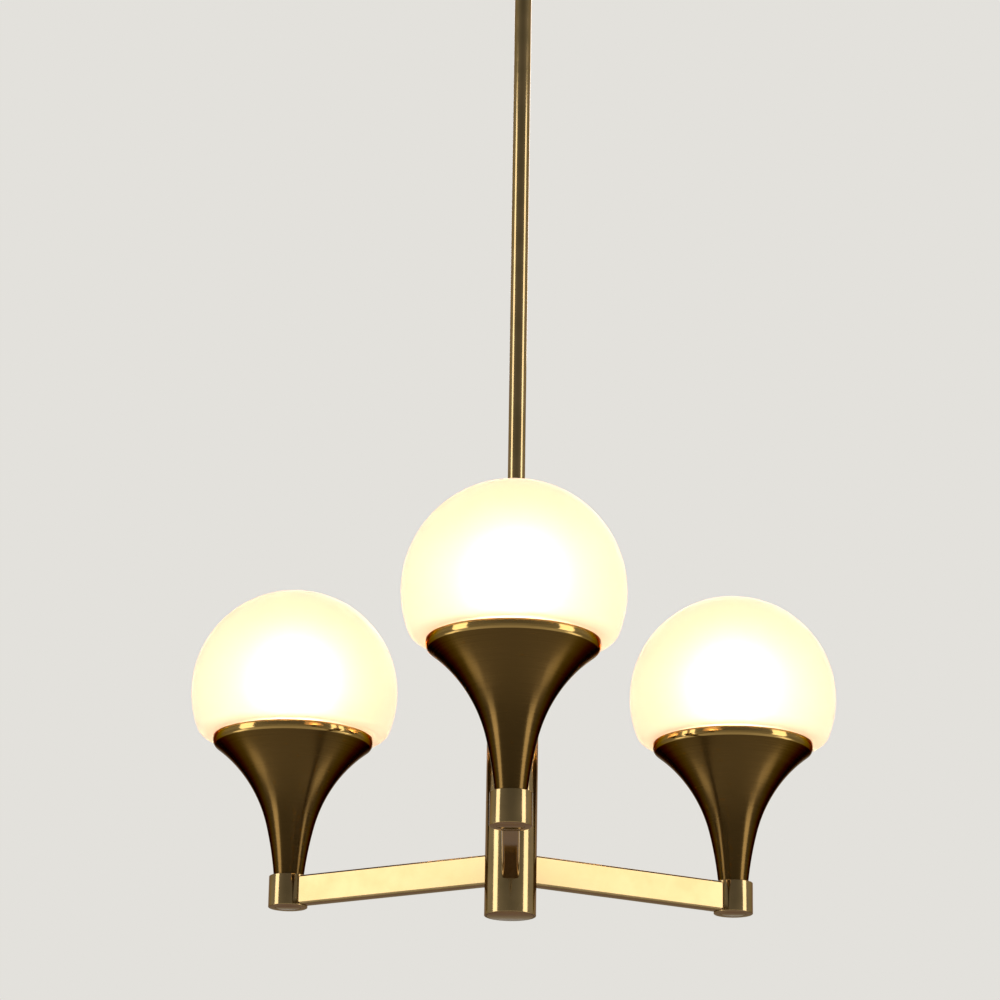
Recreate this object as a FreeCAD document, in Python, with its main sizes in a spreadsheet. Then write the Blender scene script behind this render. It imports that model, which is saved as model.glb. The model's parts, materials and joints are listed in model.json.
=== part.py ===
import FreeCAD, Part
import math
import os
import re
import Sketcher

# Three-arm pendant chandelier with opal glass globes on flared trumpet cups.
# Own frame: +Z up, origin on the ceiling at the middle of the canopy, so everything hangs below z = 0.
# One arm points along -Y, the other two follow at 120 degrees. Millimetres throughout.

doc = FreeCAD.newDocument("multi_arm_chandelier")

# ---------------------------------------------------------------------------------------------
# Driving dimensions: alias, value, what it sets
# ---------------------------------------------------------------------------------------------
SIZES = [
    ("running_fit", 0.05, "radial gap of a shaft, spigot or plug in its bore"),
    ("thread_fit", 0.05, "radial gap modelled between an M10 tube and its thread"),
    ("slot_gap", 0.1, "gap all round a rectangular arm in its slot"),
    ("drop_to_boss", 750.0, "ceiling down to the underside of the arm bosses"),
    ("arm_reach", 184.7, "hub axis to the axis of each light"),
    ("arm_width", 12.0, "rectangular arm tube, across"),
    ("arm_height", 21.0, "rectangular arm tube, upright"),
    ("arm_wall", 1.2, "rectangular arm tube, wall"),
    ("arm_corner", 2.0, "rectangular arm tube, outer corner radius"),
    ("boss_radius", 14.15, "round boss at the end of each arm"),
    ("boss_lip", 0.8, "boss metal above and below the arm"),
    ("boss_crown", 5.0, "solid thickness over the boss chamber"),
    ("boss_chamber", 8.5, "radius of the wiring chamber in the boss"),
    ("boss_pocket_wall", 1.7, "wall between the chamber and the arm pocket"),
    ("boss_edge", 0.4, "small chamfer on the boss edges"),
    ("plug_radius", 9.2, "plug that closes the boss from below"),
    ("plug_height", 3.0, "thickness of the boss plug"),
    ("wire_hole", 3.5, "radius of the wiring holes"),
    ("flex_radius", 2.1, "three-core flex in an arm"),
    ("flex_level", 8.4, "height of the arm flex above the boss underside"),
    ("flex_bend", 6.0, "bend radius of the arm flex"),
    ("hub_flex_ring", 4.6, "distance of the rising arm flexes from the hub axis"),
    ("hub_radius", 18.1, "outer radius of the hub tube"),
    ("hub_wall", 1.6, "wall of the hub tube"),
    ("hub_below", 22.3, "hub tube below the boss undersides"),
    ("hub_height", 150.0, "whole length of the hub tube"),
    ("hub_cap_height", 4.0, "thickness of the two hub end caps"),
    ("hub_cap_step", 0.7, "counterbore step that the hub caps sit on"),
    ("core_flat", 10.5, "hub axis to the flats that the arms are brazed to"),
    ("core_gap", 0.3, "radial gap of the hub core in the hub tube"),
    ("core_bore", 8.0, "radius of the bore through the hub core"),
    ("splice_radius", 12.0, "connector block in the hub"),
    ("splice_height", 24.0, "height of the connector block"),
    ("splice_depth", 8.0, "how deep the wires enter the connector block"),
    ("stem_radius", 6.2, "outer radius of the stem tube"),
    ("stem_wall", 1.2, "wall of the stem tube"),
    ("nipple_radius", 4.95, "outer radius of the M10 threaded tubes"),
    ("nipple_bore", 3.5, "bore radius of the M10 threaded tubes"),
    ("nut_flats", 13.0, "M10 thin nut, across flats"),
    ("nut_height", 3.5, "M10 thin nut, height"),
    ("nipple_proud", 0.5, "M10 tube standing out of its end nut"),
    ("stem_grip", 24.0, "M10 tube inside each end of the stem"),
    ("stem_flex_radius", 2.9, "supply flex down the stem"),
    ("trumpet_foot", 10.8, "outer radius of the trumpet at its foot"),
    ("trumpet_wall", 1.0, "wall of the spun trumpet"),
    ("trumpet_base", 1.2, "thickness of the closed foot of the trumpet"),
    ("flare_start", 5.7, "slope off vertical at the foot, degrees"),
    ("flare_mid", 14.0, "slope where the two flare curves meet, degrees"),
    ("flare_low_bend", 260.0, "radius of the lower flare curve"),
    ("flare_high_bend", 105.0, "radius of the upper flare curve"),
    ("rim_corner", 4.6, "rounded corner between the flare and the upright rim"),
    ("rim_band", 2.9, "upright part of the rim above its corner"),
    ("rim_wall", 1.0, "thickness of the upright rim"),
    ("ledge_depth", 4.6, "rim top down to the ledge that carries the glass"),
    ("ledge_width", 3.9, "width of the ledge"),
    ("gasket_height", 1.2, "soft ring under the glass"),
    ("gasket_gap", 0.4, "radial gap round the soft ring"),
    ("globe_radius", 75.0, "opal globe, outside"),
    ("globe_wall", 2.5, "opal globe, glass thickness"),
    ("globe_lift", 0.7, "gap between the rim top and the glass shoulder"),
    ("shoulder_bend", 10.0, "tight bend where the globe turns in under itself"),
    ("shoulder_flat", 3.175, "flat ring under the globe, from its shoulder to its neck bevel"),
    ("neck_gap", 0.6, "radial gap of the glass neck in the rim"),
    ("neck_bevel", 1.0, "bevel between the shoulder and the neck"),
    ("shoulder_drop", 33.6, "globe centre down to the underside of the shoulder"),
    ("holder_level", 75.9, "boss top up to the foot of the lampholder"),
    ("holder_radius", 13.5, "lampholder body"),
    ("holder_height", 34.0, "height of the lampholder body"),
    ("holder_entry", 6.5, "depth of the M10 entry in the lampholder"),
    ("holder_floor", 10.0, "foot of the lampholder up to the floor of its socket"),
    ("sleeve_bore", 7.1, "inside of the lampholder's metal sleeve"),
    ("sleeve_wall", 0.4, "wall of the lampholder's metal sleeve"),
    ("sleeve_height", 18.0, "length of the lampholder's metal sleeve"),
    ("contact_radius", 3.0, "centre contact in the lampholder"),
    ("contact_height", 2.4, "height of the centre contact"),
    ("bulb_seat_gap", 0.1, "gap between the bulb and the centre contact"),
    ("bulb_radius", 22.5, "golf-ball bulb"),
    ("bulb_length", 78.0, "bulb, contact to top"),
    ("cap_radius", 6.9, "bulb cap, over the thread"),
    ("cap_height", 24.0, "bulb cap with its contact"),
    ("bulb_neck", 8.6, "radius of the bulb where it meets its cap"),
    ("canopy_radius", 60.0, "ceiling canopy"),
    ("canopy_height", 30.0, "depth of the ceiling canopy"),
    ("canopy_wall", 1.2, "wall of the ceiling canopy"),
    ("canopy_bend", 8.0, "rounded lower edge of the canopy"),
    ("strip_width", 12.0, "width of the ceiling strip"),
    ("strip_thick", 1.5, "thickness of the ceiling strip"),
    ("strip_end_gap", 1.8, "ceiling strip lug to the inside of the canopy wall"),
    ("lug_drop", 13.0, "depth of the turned-down lugs"),
    ("fixing_spacing", 86.0, "between the two ceiling fixing slots"),
    ("fixing_length", 12.0, "end-to-end length of a fixing slot"),
    ("fixing_width", 5.0, "width of a fixing slot"),
    ("screw_level", 8.0, "ceiling down to the side screws"),
    ("screw_radius", 2.0, "side screws"),
    ("screw_head", 4.0, "side screw head radius"),
    ("swivel_radius", 17.0, "swivel housing, outside"),
    ("swivel_bore", 14.0, "swivel housing, bore"),
    ("swivel_length", 29.0, "swivel housing, length"),
    ("swivel_lip", 2.5, "thickness of the lip that carries the seat"),
    ("swivel_mouth", 9.6, "radius of the opening in the swivel lip"),
    ("swivel_cap_flange", 3.0, "visible flange of the swivel cap"),
    ("swivel_cap_spigot", 4.0, "swivel cap inside the housing"),
    ("ball_radius", 11.0, "swivel ball"),
    ("ball_flat", 9.0, "ball centre to its flat underside"),
    ("ball_top", 10.0, "ball centre to its flat top"),
    ("seat_height", 5.0, "seat ring under the ball"),
    ("seat_bore", 8.7, "opening through the seat ring"),
    ("seat_throat", 2.75, "height of the plain bore under the ball's seat"),
    ("seat_gap", 0.3, "gap between the ball and its seat"),
    ("stem_clear", 4.0, "swivel housing down to the top of the stem"),
    ("block_length", 20.0, "terminal block, along the strip"),
    ("block_width", 16.0, "terminal block, across"),
    ("block_height", 13.0, "terminal block, upright"),
    ("block_place", 13.5, "canopy axis to the near face of the terminal block"),
    ("block_screw", 1.5, "radius of the screw that holds the terminal block"),
    ("block_screw_inset", 5.0, "far end of the terminal block to its screw"),
    ("block_screw_head", 2.8, "head radius of the terminal block screw"),
    ("earth_place", 17.5, "canopy axis to the earth screw"),
    ("supply_level", 9.0, "ceiling down to the flex in the canopy"),
    ("supply_bend", 12.0, "bend radius of the flex in the canopy"),
]

sizes = doc.addObject("Spreadsheet::Sheet", "Sizes")
sizes.set("A1", "size")
sizes.set("B1", "value")
sizes.set("C1", "sets")
for row, (alias, number, note) in enumerate(SIZES, start=2):
    sizes.set(f"A{row}", alias)
    sizes.set(f"B{row}", str(number))
    sizes.set(f"C{row}", note)
    sizes.setAlias(f"B{row}", alias)
doc.recompute()

ALIASES = re.compile(r"\b(" + "|".join(alias for alias, _, _ in SIZES) + r")\b")


def bound(text):
    """Expression text with each size name pointing at its cell."""
    return ALIASES.sub(r"Sizes.\1", str(text))


def value(text):
    """Number that an expression gives now."""
    found = sizes.evalExpression(bound(text))
    return float(getattr(found, "Value", found))


# ---------------------------------------------------------------------------------------------
# Levels and places that several pieces share, all built from the sizes
# ---------------------------------------------------------------------------------------------
BOSS_HEIGHT = "(arm_height + 2 * boss_lip)"
BOSS_LOW = "(-drop_to_boss)"
BOSS_TOP = f"({BOSS_LOW} + {BOSS_HEIGHT})"
ARM_LOW = f"({BOSS_LOW} + boss_lip)"
ARM_TOP = f"({ARM_LOW} + arm_height)"
ARM_MID = f"({ARM_LOW} + arm_height / 2)"
ARM_END = "(arm_reach - boss_chamber - boss_pocket_wall)"
CHAMBER_TOP = f"({BOSS_HEIGHT} - boss_crown)"
HUB_LOW = f"({BOSS_LOW} - hub_below)"
HUB_TOP = f"({HUB_LOW} + hub_height)"
HUB_BORE = "(hub_radius - hub_wall)"
THREAD_BORE = "(nipple_radius + thread_fit)"

# Under side of the globe, measured from its own axis and the globe centre.
SHOULDER_ARM = "(globe_radius - shoulder_bend)"
SHOULDER_Z = "(shoulder_bend - shoulder_drop)"
SHOULDER_R = f"sqrt({SHOULDER_ARM} ^ 2 - {SHOULDER_Z} ^ 2)"
NECK_R = f"({SHOULDER_R} - shoulder_flat - neck_bevel)"

# Flare of the trumpet, measured from its own axis and the boss top. The rim fits round the glass neck,
# and the upper flare curve runs on until its rounded corner reaches the rim.
LOW_CENTRE_R = "(trumpet_foot + flare_low_bend * cos(flare_start))"
LOW_CENTRE_Z = "(-flare_low_bend * sin(flare_start))"
MID_R = f"({LOW_CENTRE_R} - flare_low_bend * cos(flare_mid))"
MID_Z = f"({LOW_CENTRE_Z} + flare_low_bend * sin(flare_mid))"
HIGH_CENTRE_R = f"({MID_R} + flare_high_bend * cos(flare_mid))"
HIGH_CENTRE_Z = f"({MID_Z} - flare_high_bend * sin(flare_mid))"
RIM_BORE = f"({NECK_R} + neck_gap)"
RIM_R = f"({RIM_BORE} + rim_wall)"
FLARE_COS = f"(({HIGH_CENTRE_R} + rim_corner - {RIM_R}) / (flare_high_bend + rim_corner))"
FLARE_SIN = f"sqrt(1 - {FLARE_COS} ^ 2)"
FLARE_R = f"({HIGH_CENTRE_R} - flare_high_bend * {FLARE_COS})"
FLARE_Z = f"({HIGH_CENTRE_Z} + flare_high_bend * {FLARE_SIN})"
RIM_CORNER_Z = f"({FLARE_Z} + rim_corner * {FLARE_SIN})"
RIM_Z = f"({RIM_CORNER_Z} + rim_band)"
LEDGE_Z = f"({RIM_Z} - ledge_depth)"
LEDGE_R = f"({RIM_BORE} - ledge_width)"

# Globe on its seat.
GLOBE_CENTRE = f"({RIM_Z} + globe_lift + shoulder_drop)"
NECK_LOW = f"({LEDGE_Z} + gasket_height - {GLOBE_CENTRE})"

# Bulb and lampholder, measured from the boss top.
HOLDER_FLOOR = "(holder_level + holder_floor)"
BULB_LOW = f"({HOLDER_FLOOR} + contact_height + bulb_seat_gap)"

# Ceiling end.
CANOPY_LOW = "(-canopy_height)"
HOUSING_TOP = f"({CANOPY_LOW} - swivel_cap_flange)"
HOUSING_LOW = f"({HOUSING_TOP} - swivel_length)"
SEAT_LOW = f"({HOUSING_LOW} + swivel_lip)"
BALL_DEPTH = "sqrt((ball_radius + seat_gap) ^ 2 - seat_bore ^ 2)"
BALL_CENTRE = f"({SEAT_LOW} + seat_throat + {BALL_DEPTH})"
STEM_TOP = f"({HOUSING_LOW} - stem_clear)"
CAP_LOW = f"({HOUSING_TOP} - swivel_cap_spigot)"


# ---------------------------------------------------------------------------------------------
# Helpers
# ---------------------------------------------------------------------------------------------
def bind(item, **texts):
    """Bind properties of an object to the sheet; a double underscore stands for a dot."""
    for name, text in texts.items():
        item.setExpression(name.replace("__", "."), bound(text))


def place(item, x="0", y="0", z="0", turn=0.0):
    """Turn a piece about the upright axis and bind its place."""
    item.Placement = FreeCAD.Placement(FreeCAD.Vector(), FreeCAD.Rotation(FreeCAD.Vector(0, 0, 1), turn))
    bind(item, Placement__Base__x=x, Placement__Base__y=y, Placement__Base__z=z)


def new_body(name, x="0", y="0", z="0", turn=0.0):
    """Empty body named after its node."""
    body = doc.addObject("PartDesign::Body", name)
    body.Label = name
    place(body, x, y, z, turn)
    return body


def new_sketch(body, name, role, rise="0"):
    """Sketch on one of the body's own origin planes, lifted along the plane's normal."""
    sketch = body.newObject("Sketcher::SketchObject", name)
    plane = [item for item in body.Origin.OriginFeatures if item.Role == role][0]
    sketch.AttachmentSupport = (plane, "")
    sketch.MapMode = "FlatFace"
    sketch.setExpression("AttachmentOffset.Base.z", bound(rise))
    return sketch


def pin(sketch, geometry, point, x, y):
    """Hold one sketch point at two bound distances from the sketch origin."""
    for kind, text, axis in (("DistanceX", x, -2), ("DistanceY", y, -1)):
        if str(text) == "0":
            sketch.addConstraint(Sketcher.Constraint("PointOnObject", geometry, point, axis))
            continue
        rule = sketch.addConstraint(Sketcher.Constraint(kind, -1, 1, geometry, point, value(text)))
        sketch.setExpression(f"Constraints[{rule}]", bound(text))


def arc_between(start, end, radius, side):
    """Short arc between two points, always drawn anticlockwise, and whether it runs from start to end.

    Side 1 bulges to the left of the way from start to end, side -1 to the right.
    """
    chord = end - start
    left = FreeCAD.Vector(-chord.y, chord.x, 0).normalize()
    depth = math.sqrt(max(radius ** 2 - (chord.Length / 2) ** 2, 0.0))
    centre = (start + end) * 0.5 - left * depth * side
    first, last = (end, start) if side > 0 else (start, end)
    begin = math.atan2(first.y - centre.y, first.x - centre.x)
    finish = math.atan2(last.y - centre.y, last.x - centre.x)
    if finish <= begin:
        finish += 2 * math.pi
    whole = Part.Circle(centre, FreeCAD.Vector(0, 0, 1), radius)
    return Part.ArcOfCircle(whole, begin, finish), side < 0


def outline(sketch, points, arcs=None, closed=True):
    """Lines and arcs through bound points.

    arcs maps an edge's number to its radius and side. A radius of None is a half circle with its ends
    one above the other.
    """
    arcs = arcs or {}
    spots = [FreeCAD.Vector(value(x), value(y), 0) for x, y in points]
    count = len(points) if closed else len(points) - 1
    ends = []
    for edge in range(count):
        start, end = spots[edge], spots[(edge + 1) % len(points)]
        if edge not in arcs:
            sketch.addGeometry(Part.LineSegment(start, end), False)
            ends.append((1, 2))
            continue
        radius, side = arcs[edge]
        size = value(radius) if radius else (end - start).Length / 2
        curve, forward = arc_between(start, end, size, side)
        sketch.addGeometry(curve, False)
        ends.append((1, 2) if forward else (2, 1))
    for edge in range(count if closed else count - 1):
        following = (edge + 1) % count
        sketch.addConstraint(Sketcher.Constraint("Coincident", edge, ends[edge][1], following, ends[following][0]))
    for number, (x, y) in enumerate(points):
        if number < count:
            pin(sketch, number, ends[number][0], x, y)
        else:
            pin(sketch, number - 1, ends[number - 1][1], x, y)
    for edge, (radius, side) in arcs.items():
        if radius is None:
            sketch.addConstraint(Sketcher.Constraint("Vertical", edge, 1, edge, 3))
            continue
        rule = sketch.addConstraint(Sketcher.Constraint("Radius", edge, value(radius)))
        sketch.setExpression(f"Constraints[{rule}]", bound(radius))


def circle(sketch, radius, x="0", y="0"):
    """Bound circle in a sketch."""
    centre = FreeCAD.Vector(value(x), value(y), 0)
    number = sketch.addGeometry(Part.Circle(centre, FreeCAD.Vector(0, 0, 1), value(radius)), False)
    if str(x) == "0" and str(y) == "0":
        sketch.addConstraint(Sketcher.Constraint("Coincident", number, 3, -1, 1))
    else:
        pin(sketch, number, 3, x, y)
    rule = sketch.addConstraint(Sketcher.Constraint("Radius", number, value(radius)))
    sketch.setExpression(f"Constraints[{rule}]", bound(radius))


def rectangle(sketch, left, right, low, high):
    """Bound upright rectangle in a sketch."""
    outline(sketch, [(left, low), (right, low), (right, high), (left, high)])


def pad(body, name, sketch, length, reverse=False, middle=False):
    """Pad bound to a length."""
    feature = body.newObject("PartDesign::Pad", name)
    feature.Profile = sketch
    feature.Midplane = middle
    feature.Reversed = reverse
    bind(feature, Length=length)
    sketch.Visibility = False
    return feature


def pocket(body, name, sketch, length, reverse=False, middle=False):
    """Pocket bound to a length; it must take material away."""
    doc.recompute()
    before = body.Shape.Volume
    feature = body.newObject("PartDesign::Pocket", name)
    feature.Profile = sketch
    feature.Midplane = middle
    feature.Reversed = reverse
    bind(feature, Length=length)
    sketch.Visibility = False
    doc.recompute()
    if body.Shape.Volume > before - 0.01:
        raise RuntimeError(f"{name} cuts nothing")
    return feature


def revolve(body, name, sketch):
    """Full turn about the sketch's upright axis."""
    feature = body.newObject("PartDesign::Revolution", name)
    feature.Profile = sketch
    feature.ReferenceAxis = (sketch, ["V_Axis"])
    feature.Angle = 360.0
    sketch.Visibility = False
    return feature


def pattern(body, name, feature, count):
    """Repeat a feature round the body's upright axis."""
    turned = body.newObject("PartDesign::PolarPattern", name)
    turned.Originals = [feature]
    turned.Axis = ([item for item in body.Origin.OriginFeatures if item.Role == "Z_Axis"][0], [""])
    turned.Angle = 360.0
    turned.Occurrences = count
    body.Tip = turned
    return turned


def turned_piece(name, points, arcs=None, x="0", y="0", z="0", turn=0.0):
    """Piece turned on a lathe: a closed outline revolved about its own axis."""
    body = new_body(name, x, y, z, turn)
    sketch = new_sketch(body, f"{name}_outline", "XZ_Plane")
    outline(sketch, points, arcs)
    revolve(body, f"{name}_turned", sketch)
    return body


def ring_points(inner, outer, low, high):
    """Outline of a plain ring."""
    return [(inner, low), (outer, low), (outer, high), (inner, high)]


def hex_nut(name, x="0", y="0", z="0", turn=0.0):
    """M10 thin nut standing on its place."""
    block = doc.addObject("Part::Prism", f"{name}_hexagon")
    block.Polygon = 6
    bind(block, Circumradius="nut_flats / 2 / cos(30)", Height="nut_height")
    bore = doc.addObject("Part::Cylinder", f"{name}_bore")
    bind(bore, Radius=THREAD_BORE, Height="nut_height")
    nut = doc.addObject("Part::Cut", name)
    nut.Base = block
    nut.Tool = bore
    place(nut, x, y, z, turn)
    return nut


def group(name, items):
    """Identical loose pieces that share one node."""
    compound = doc.addObject("Part::Compound", name)
    compound.Label = name
    compound.Links = items
    return compound


def flex(name, radius, path, bends, start_x, start_z, turn=0.0, z="0"):
    """Flex pulled along straight runs joined by tangent arcs, starting upright."""
    body = new_body(name, z=z, turn=turn)
    spine = new_sketch(body, f"{name}_route", "XZ_Plane")
    outline(spine, path, bends, closed=False)
    section = new_sketch(body, f"{name}_section", "XY_Plane", start_z)
    circle(section, radius, start_x)
    pipe = body.newObject("PartDesign::AdditivePipe", f"{name}_pipe")
    pipe.Profile = section
    pipe.Spine = (spine, [])
    spine.Visibility = False
    section.Visibility = False
    return body


pieces = []

# ---------------------------------------------------------------------------------------------
# Ceiling end: strip, canopy, side screws, terminal block, swivel housing
# ---------------------------------------------------------------------------------------------
LUG_FACE = "(canopy_radius - canopy_wall - strip_end_gap)"
strip = new_body("ceiling_bracket")
strip_side = new_sketch(strip, "strip_side", "XZ_Plane")
outline(strip_side, [
    (f"-{LUG_FACE}", "0"),
    (f"-{LUG_FACE}", "-lug_drop"),
    (f"-{LUG_FACE} + strip_thick", "-lug_drop"),
    (f"-{LUG_FACE} + strip_thick", "-strip_thick"),
    (f"{LUG_FACE} - strip_thick", "-strip_thick"),
    (f"{LUG_FACE} - strip_thick", "-lug_drop"),
    (LUG_FACE, "-lug_drop"),
    (LUG_FACE, "0"),
])
pad(strip, "strip_plate", strip_side, "strip_width", middle=True)
for hand, side in (("left", "-"), ("right", "")):
    slot = new_sketch(strip, f"fixing_slot_{hand}", "XY_Plane")
    half = "(fixing_length - fixing_width) / 2"
    outline(slot, [
        (f"{side}fixing_spacing / 2 - {half}", "-fixing_width / 2"),
        (f"{side}fixing_spacing / 2 + {half}", "-fixing_width / 2"),
        (f"{side}fixing_spacing / 2 + {half}", "fixing_width / 2"),
        (f"{side}fixing_spacing / 2 - {half}", "fixing_width / 2"),
    ], {1: (None, -1), 3: (None, -1)})
    pocket(strip, f"fixing_cut_{hand}", slot, "2 * strip_thick + 2", middle=True)
screw_holes = new_sketch(strip, "screw_holes", "YZ_Plane")
circle(screw_holes, "screw_radius + running_fit", "0", "-screw_level")
pocket(strip, "screw_hole_cut", screw_holes, "2 * canopy_radius", middle=True)
BLOCK_SCREW_X = "(block_place + block_length - block_screw_inset)"
small_holes = new_sketch(strip, "small_holes", "XY_Plane")
circle(small_holes, "screw_radius + running_fit", "-earth_place", "0")
circle(small_holes, "block_screw + running_fit", BLOCK_SCREW_X, "0")
pocket(strip, "small_hole_cut", small_holes, "2 * strip_thick + 2", middle=True)
pieces.append(strip)

canopy = turned_piece("canopy", [
    ("canopy_radius", "0"),
    ("canopy_radius - canopy_wall", "0"),
    ("canopy_radius - canopy_wall", f"{CANOPY_LOW} + canopy_bend"),
    ("canopy_radius - canopy_bend", f"{CANOPY_LOW} + canopy_wall"),
    (THREAD_BORE, f"{CANOPY_LOW} + canopy_wall"),
    (THREAD_BORE, CANOPY_LOW),
    ("canopy_radius - canopy_bend", CANOPY_LOW),
    ("canopy_radius", f"{CANOPY_LOW} + canopy_bend"),
], {2: ("canopy_bend - canopy_wall", 1), 6: ("canopy_bend", -1)})
side_holes = new_sketch(canopy, "side_holes", "YZ_Plane")
circle(side_holes, "screw_radius + running_fit", "0", "-screw_level")
pocket(canopy, "side_hole_cut", side_holes, "2 * canopy_radius + 4", middle=True)
pieces.append(canopy)

side_screws = []
for hand, turn in (("left", 180.0), ("right", 0.0)):
    screw = new_body(f"side_screw_{hand}", z="-screw_level", turn=turn)
    shank = new_sketch(screw, f"shank_{hand}", "YZ_Plane", f"{LUG_FACE} - strip_thick - 3")
    circle(shank, "screw_radius")
    pad(screw, f"shank_pad_{hand}", shank, "canopy_radius + running_fit + 1 - ("
        f"{LUG_FACE} - strip_thick - 3)")
    head = new_sketch(screw, f"head_{hand}", "YZ_Plane", "canopy_radius + running_fit")
    circle(head, "screw_head")
    pad(screw, f"head_pad_{hand}", head, "screw_head")
    side_screws.append(screw)
pieces.append(group("canopy_screws", side_screws))

block = new_body("terminal_block")
block_plan = new_sketch(block, "block_plan", "XY_Plane", "-strip_thick")
rectangle(block_plan, "block_place", "block_place + block_length", "-block_width / 2", "block_width / 2")
pad(block, "block_pad", block_plan, "block_height", reverse=True)
entry = new_sketch(block, "flex_entry", "YZ_Plane", "block_place")
circle(entry, "stem_flex_radius + 0.3", "0", "-supply_level")
pocket(block, "flex_entry_cut", entry, "block_length / 2", reverse=True)
screw_way = new_sketch(block, "screw_way", "XY_Plane")
circle(screw_way, "block_screw + running_fit", BLOCK_SCREW_X, "0")
pocket(block, "screw_way_cut", screw_way, "4 * block_height", middle=True)
pieces.append(block)
BLOCK_LOW = "(-strip_thick - block_height)"
pieces.append(turned_piece("block_fixing_screw", [
    ("0", f"{BLOCK_LOW} - 1.8"),
    ("block_screw_head - 0.6", f"{BLOCK_LOW} - 1.8"),
    ("block_screw_head", f"{BLOCK_LOW} - 1.2"),
    ("block_screw_head", BLOCK_LOW),
    ("block_screw", BLOCK_LOW),
    ("block_screw", "-0.2"),
    ("0", "-0.2"),
], x=BLOCK_SCREW_X))

earth = turned_piece("earth_screw", [
    ("0", "strip_thick - 0.3"),
    ("0", "-3.2"),
    ("screw_head", "-3.2"),
    ("screw_head", "-1.2"),
    ("screw_head + 0.6", "-1.2"),
    ("screw_head + 0.6", "0"),
    ("screw_radius", "0"),
    ("screw_radius", "strip_thick - 0.3"),
], x="-earth_place", z="-strip_thick")
pieces.append(earth)

for name, z in (("canopy_nut", f"{CANOPY_LOW} + canopy_wall"),):
    nut = hex_nut(name, z=z)
    nut.Label = name
    pieces.append(nut)

NIPPLE_TOP = f"({CANOPY_LOW} + canopy_wall + nut_height + nipple_proud)"
pieces.append(turned_piece("canopy_nipple", ring_points(
    "nipple_bore", "nipple_radius", f"{CAP_LOW} + 1", NIPPLE_TOP)))

pieces.append(turned_piece("swivel_cap", [
    (THREAD_BORE, CAP_LOW),
    ("swivel_bore - running_fit", CAP_LOW),
    ("swivel_bore - running_fit", HOUSING_TOP),
    ("swivel_radius", HOUSING_TOP),
    ("swivel_radius", CANOPY_LOW),
    (THREAD_BORE, CANOPY_LOW),
]))

pieces.append(turned_piece("swivel_housing", [
    ("swivel_mouth", HOUSING_LOW),
    ("swivel_radius - 1.5", HOUSING_LOW),
    ("swivel_radius", f"{HOUSING_LOW} + 1.5"),
    ("swivel_radius", HOUSING_TOP),
    ("swivel_bore", HOUSING_TOP),
    ("swivel_bore", SEAT_LOW),
    ("swivel_mouth", SEAT_LOW),
], {1: ("1.5", -1)}))

pieces.append(flex("ceiling_flex", "stem_flex_radius", [
    ("0", f"{CAP_LOW} - 0.8"),
    ("0", "-supply_level - supply_bend"),
    ("supply_bend", "-supply_level"),
    ("block_place + block_length / 2 - 0.5", "-supply_level"),
], {1: ("supply_bend", 1)}, "0", f"{CAP_LOW} - 0.8"))

# ---------------------------------------------------------------------------------------------
# Swivel: the seat ring turns in the housing, the ball tilts on the seat
# ---------------------------------------------------------------------------------------------
BALL_SEAT = "(ball_radius + seat_gap)"
pieces.append(turned_piece("swivel_seat", [
    ("seat_bore", SEAT_LOW),
    ("swivel_bore - 2 * running_fit", SEAT_LOW),
    ("swivel_bore - 2 * running_fit", f"{SEAT_LOW} + seat_height"),
    (f"sqrt({BALL_SEAT} ^ 2 - ({BALL_CENTRE} - {SEAT_LOW} - seat_height) ^ 2)", f"{SEAT_LOW} + seat_height"),
    ("seat_bore", f"{BALL_CENTRE} - {BALL_DEPTH}"),
], {3: (BALL_SEAT, 1)}))

pieces.append(turned_piece("swivel_ball", [
    ("nipple_bore", "-2"),
    (THREAD_BORE, "-2"),
    (THREAD_BORE, "-ball_flat"),
    ("sqrt(ball_radius ^ 2 - ball_flat ^ 2)", "-ball_flat"),
    ("ball_radius", "0"),
    ("sqrt(ball_radius ^ 2 - ball_top ^ 2)", "ball_top"),
    ("nipple_bore", "ball_top"),
], {3: ("ball_radius", -1), 4: ("ball_radius", -1)}, z=BALL_CENTRE))

# ---------------------------------------------------------------------------------------------
# Stem and hub
# ---------------------------------------------------------------------------------------------
pieces.append(turned_piece("stem_top_nipple", ring_points(
    "nipple_bore", "nipple_radius", f"{STEM_TOP} - stem_grip", f"{BALL_CENTRE} - 2")))
pieces.append(turned_piece("stem_tube", ring_points(
    "stem_radius - stem_wall", "stem_radius", HUB_TOP, STEM_TOP)))
CAP_UNDER = f"({HUB_TOP} - hub_cap_height)"
pieces.append(turned_piece("stem_bottom_nipple", ring_points(
    "nipple_bore", "nipple_radius",
    f"{CAP_UNDER} - nut_height - nipple_proud", f"{HUB_TOP} + stem_grip")))

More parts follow.
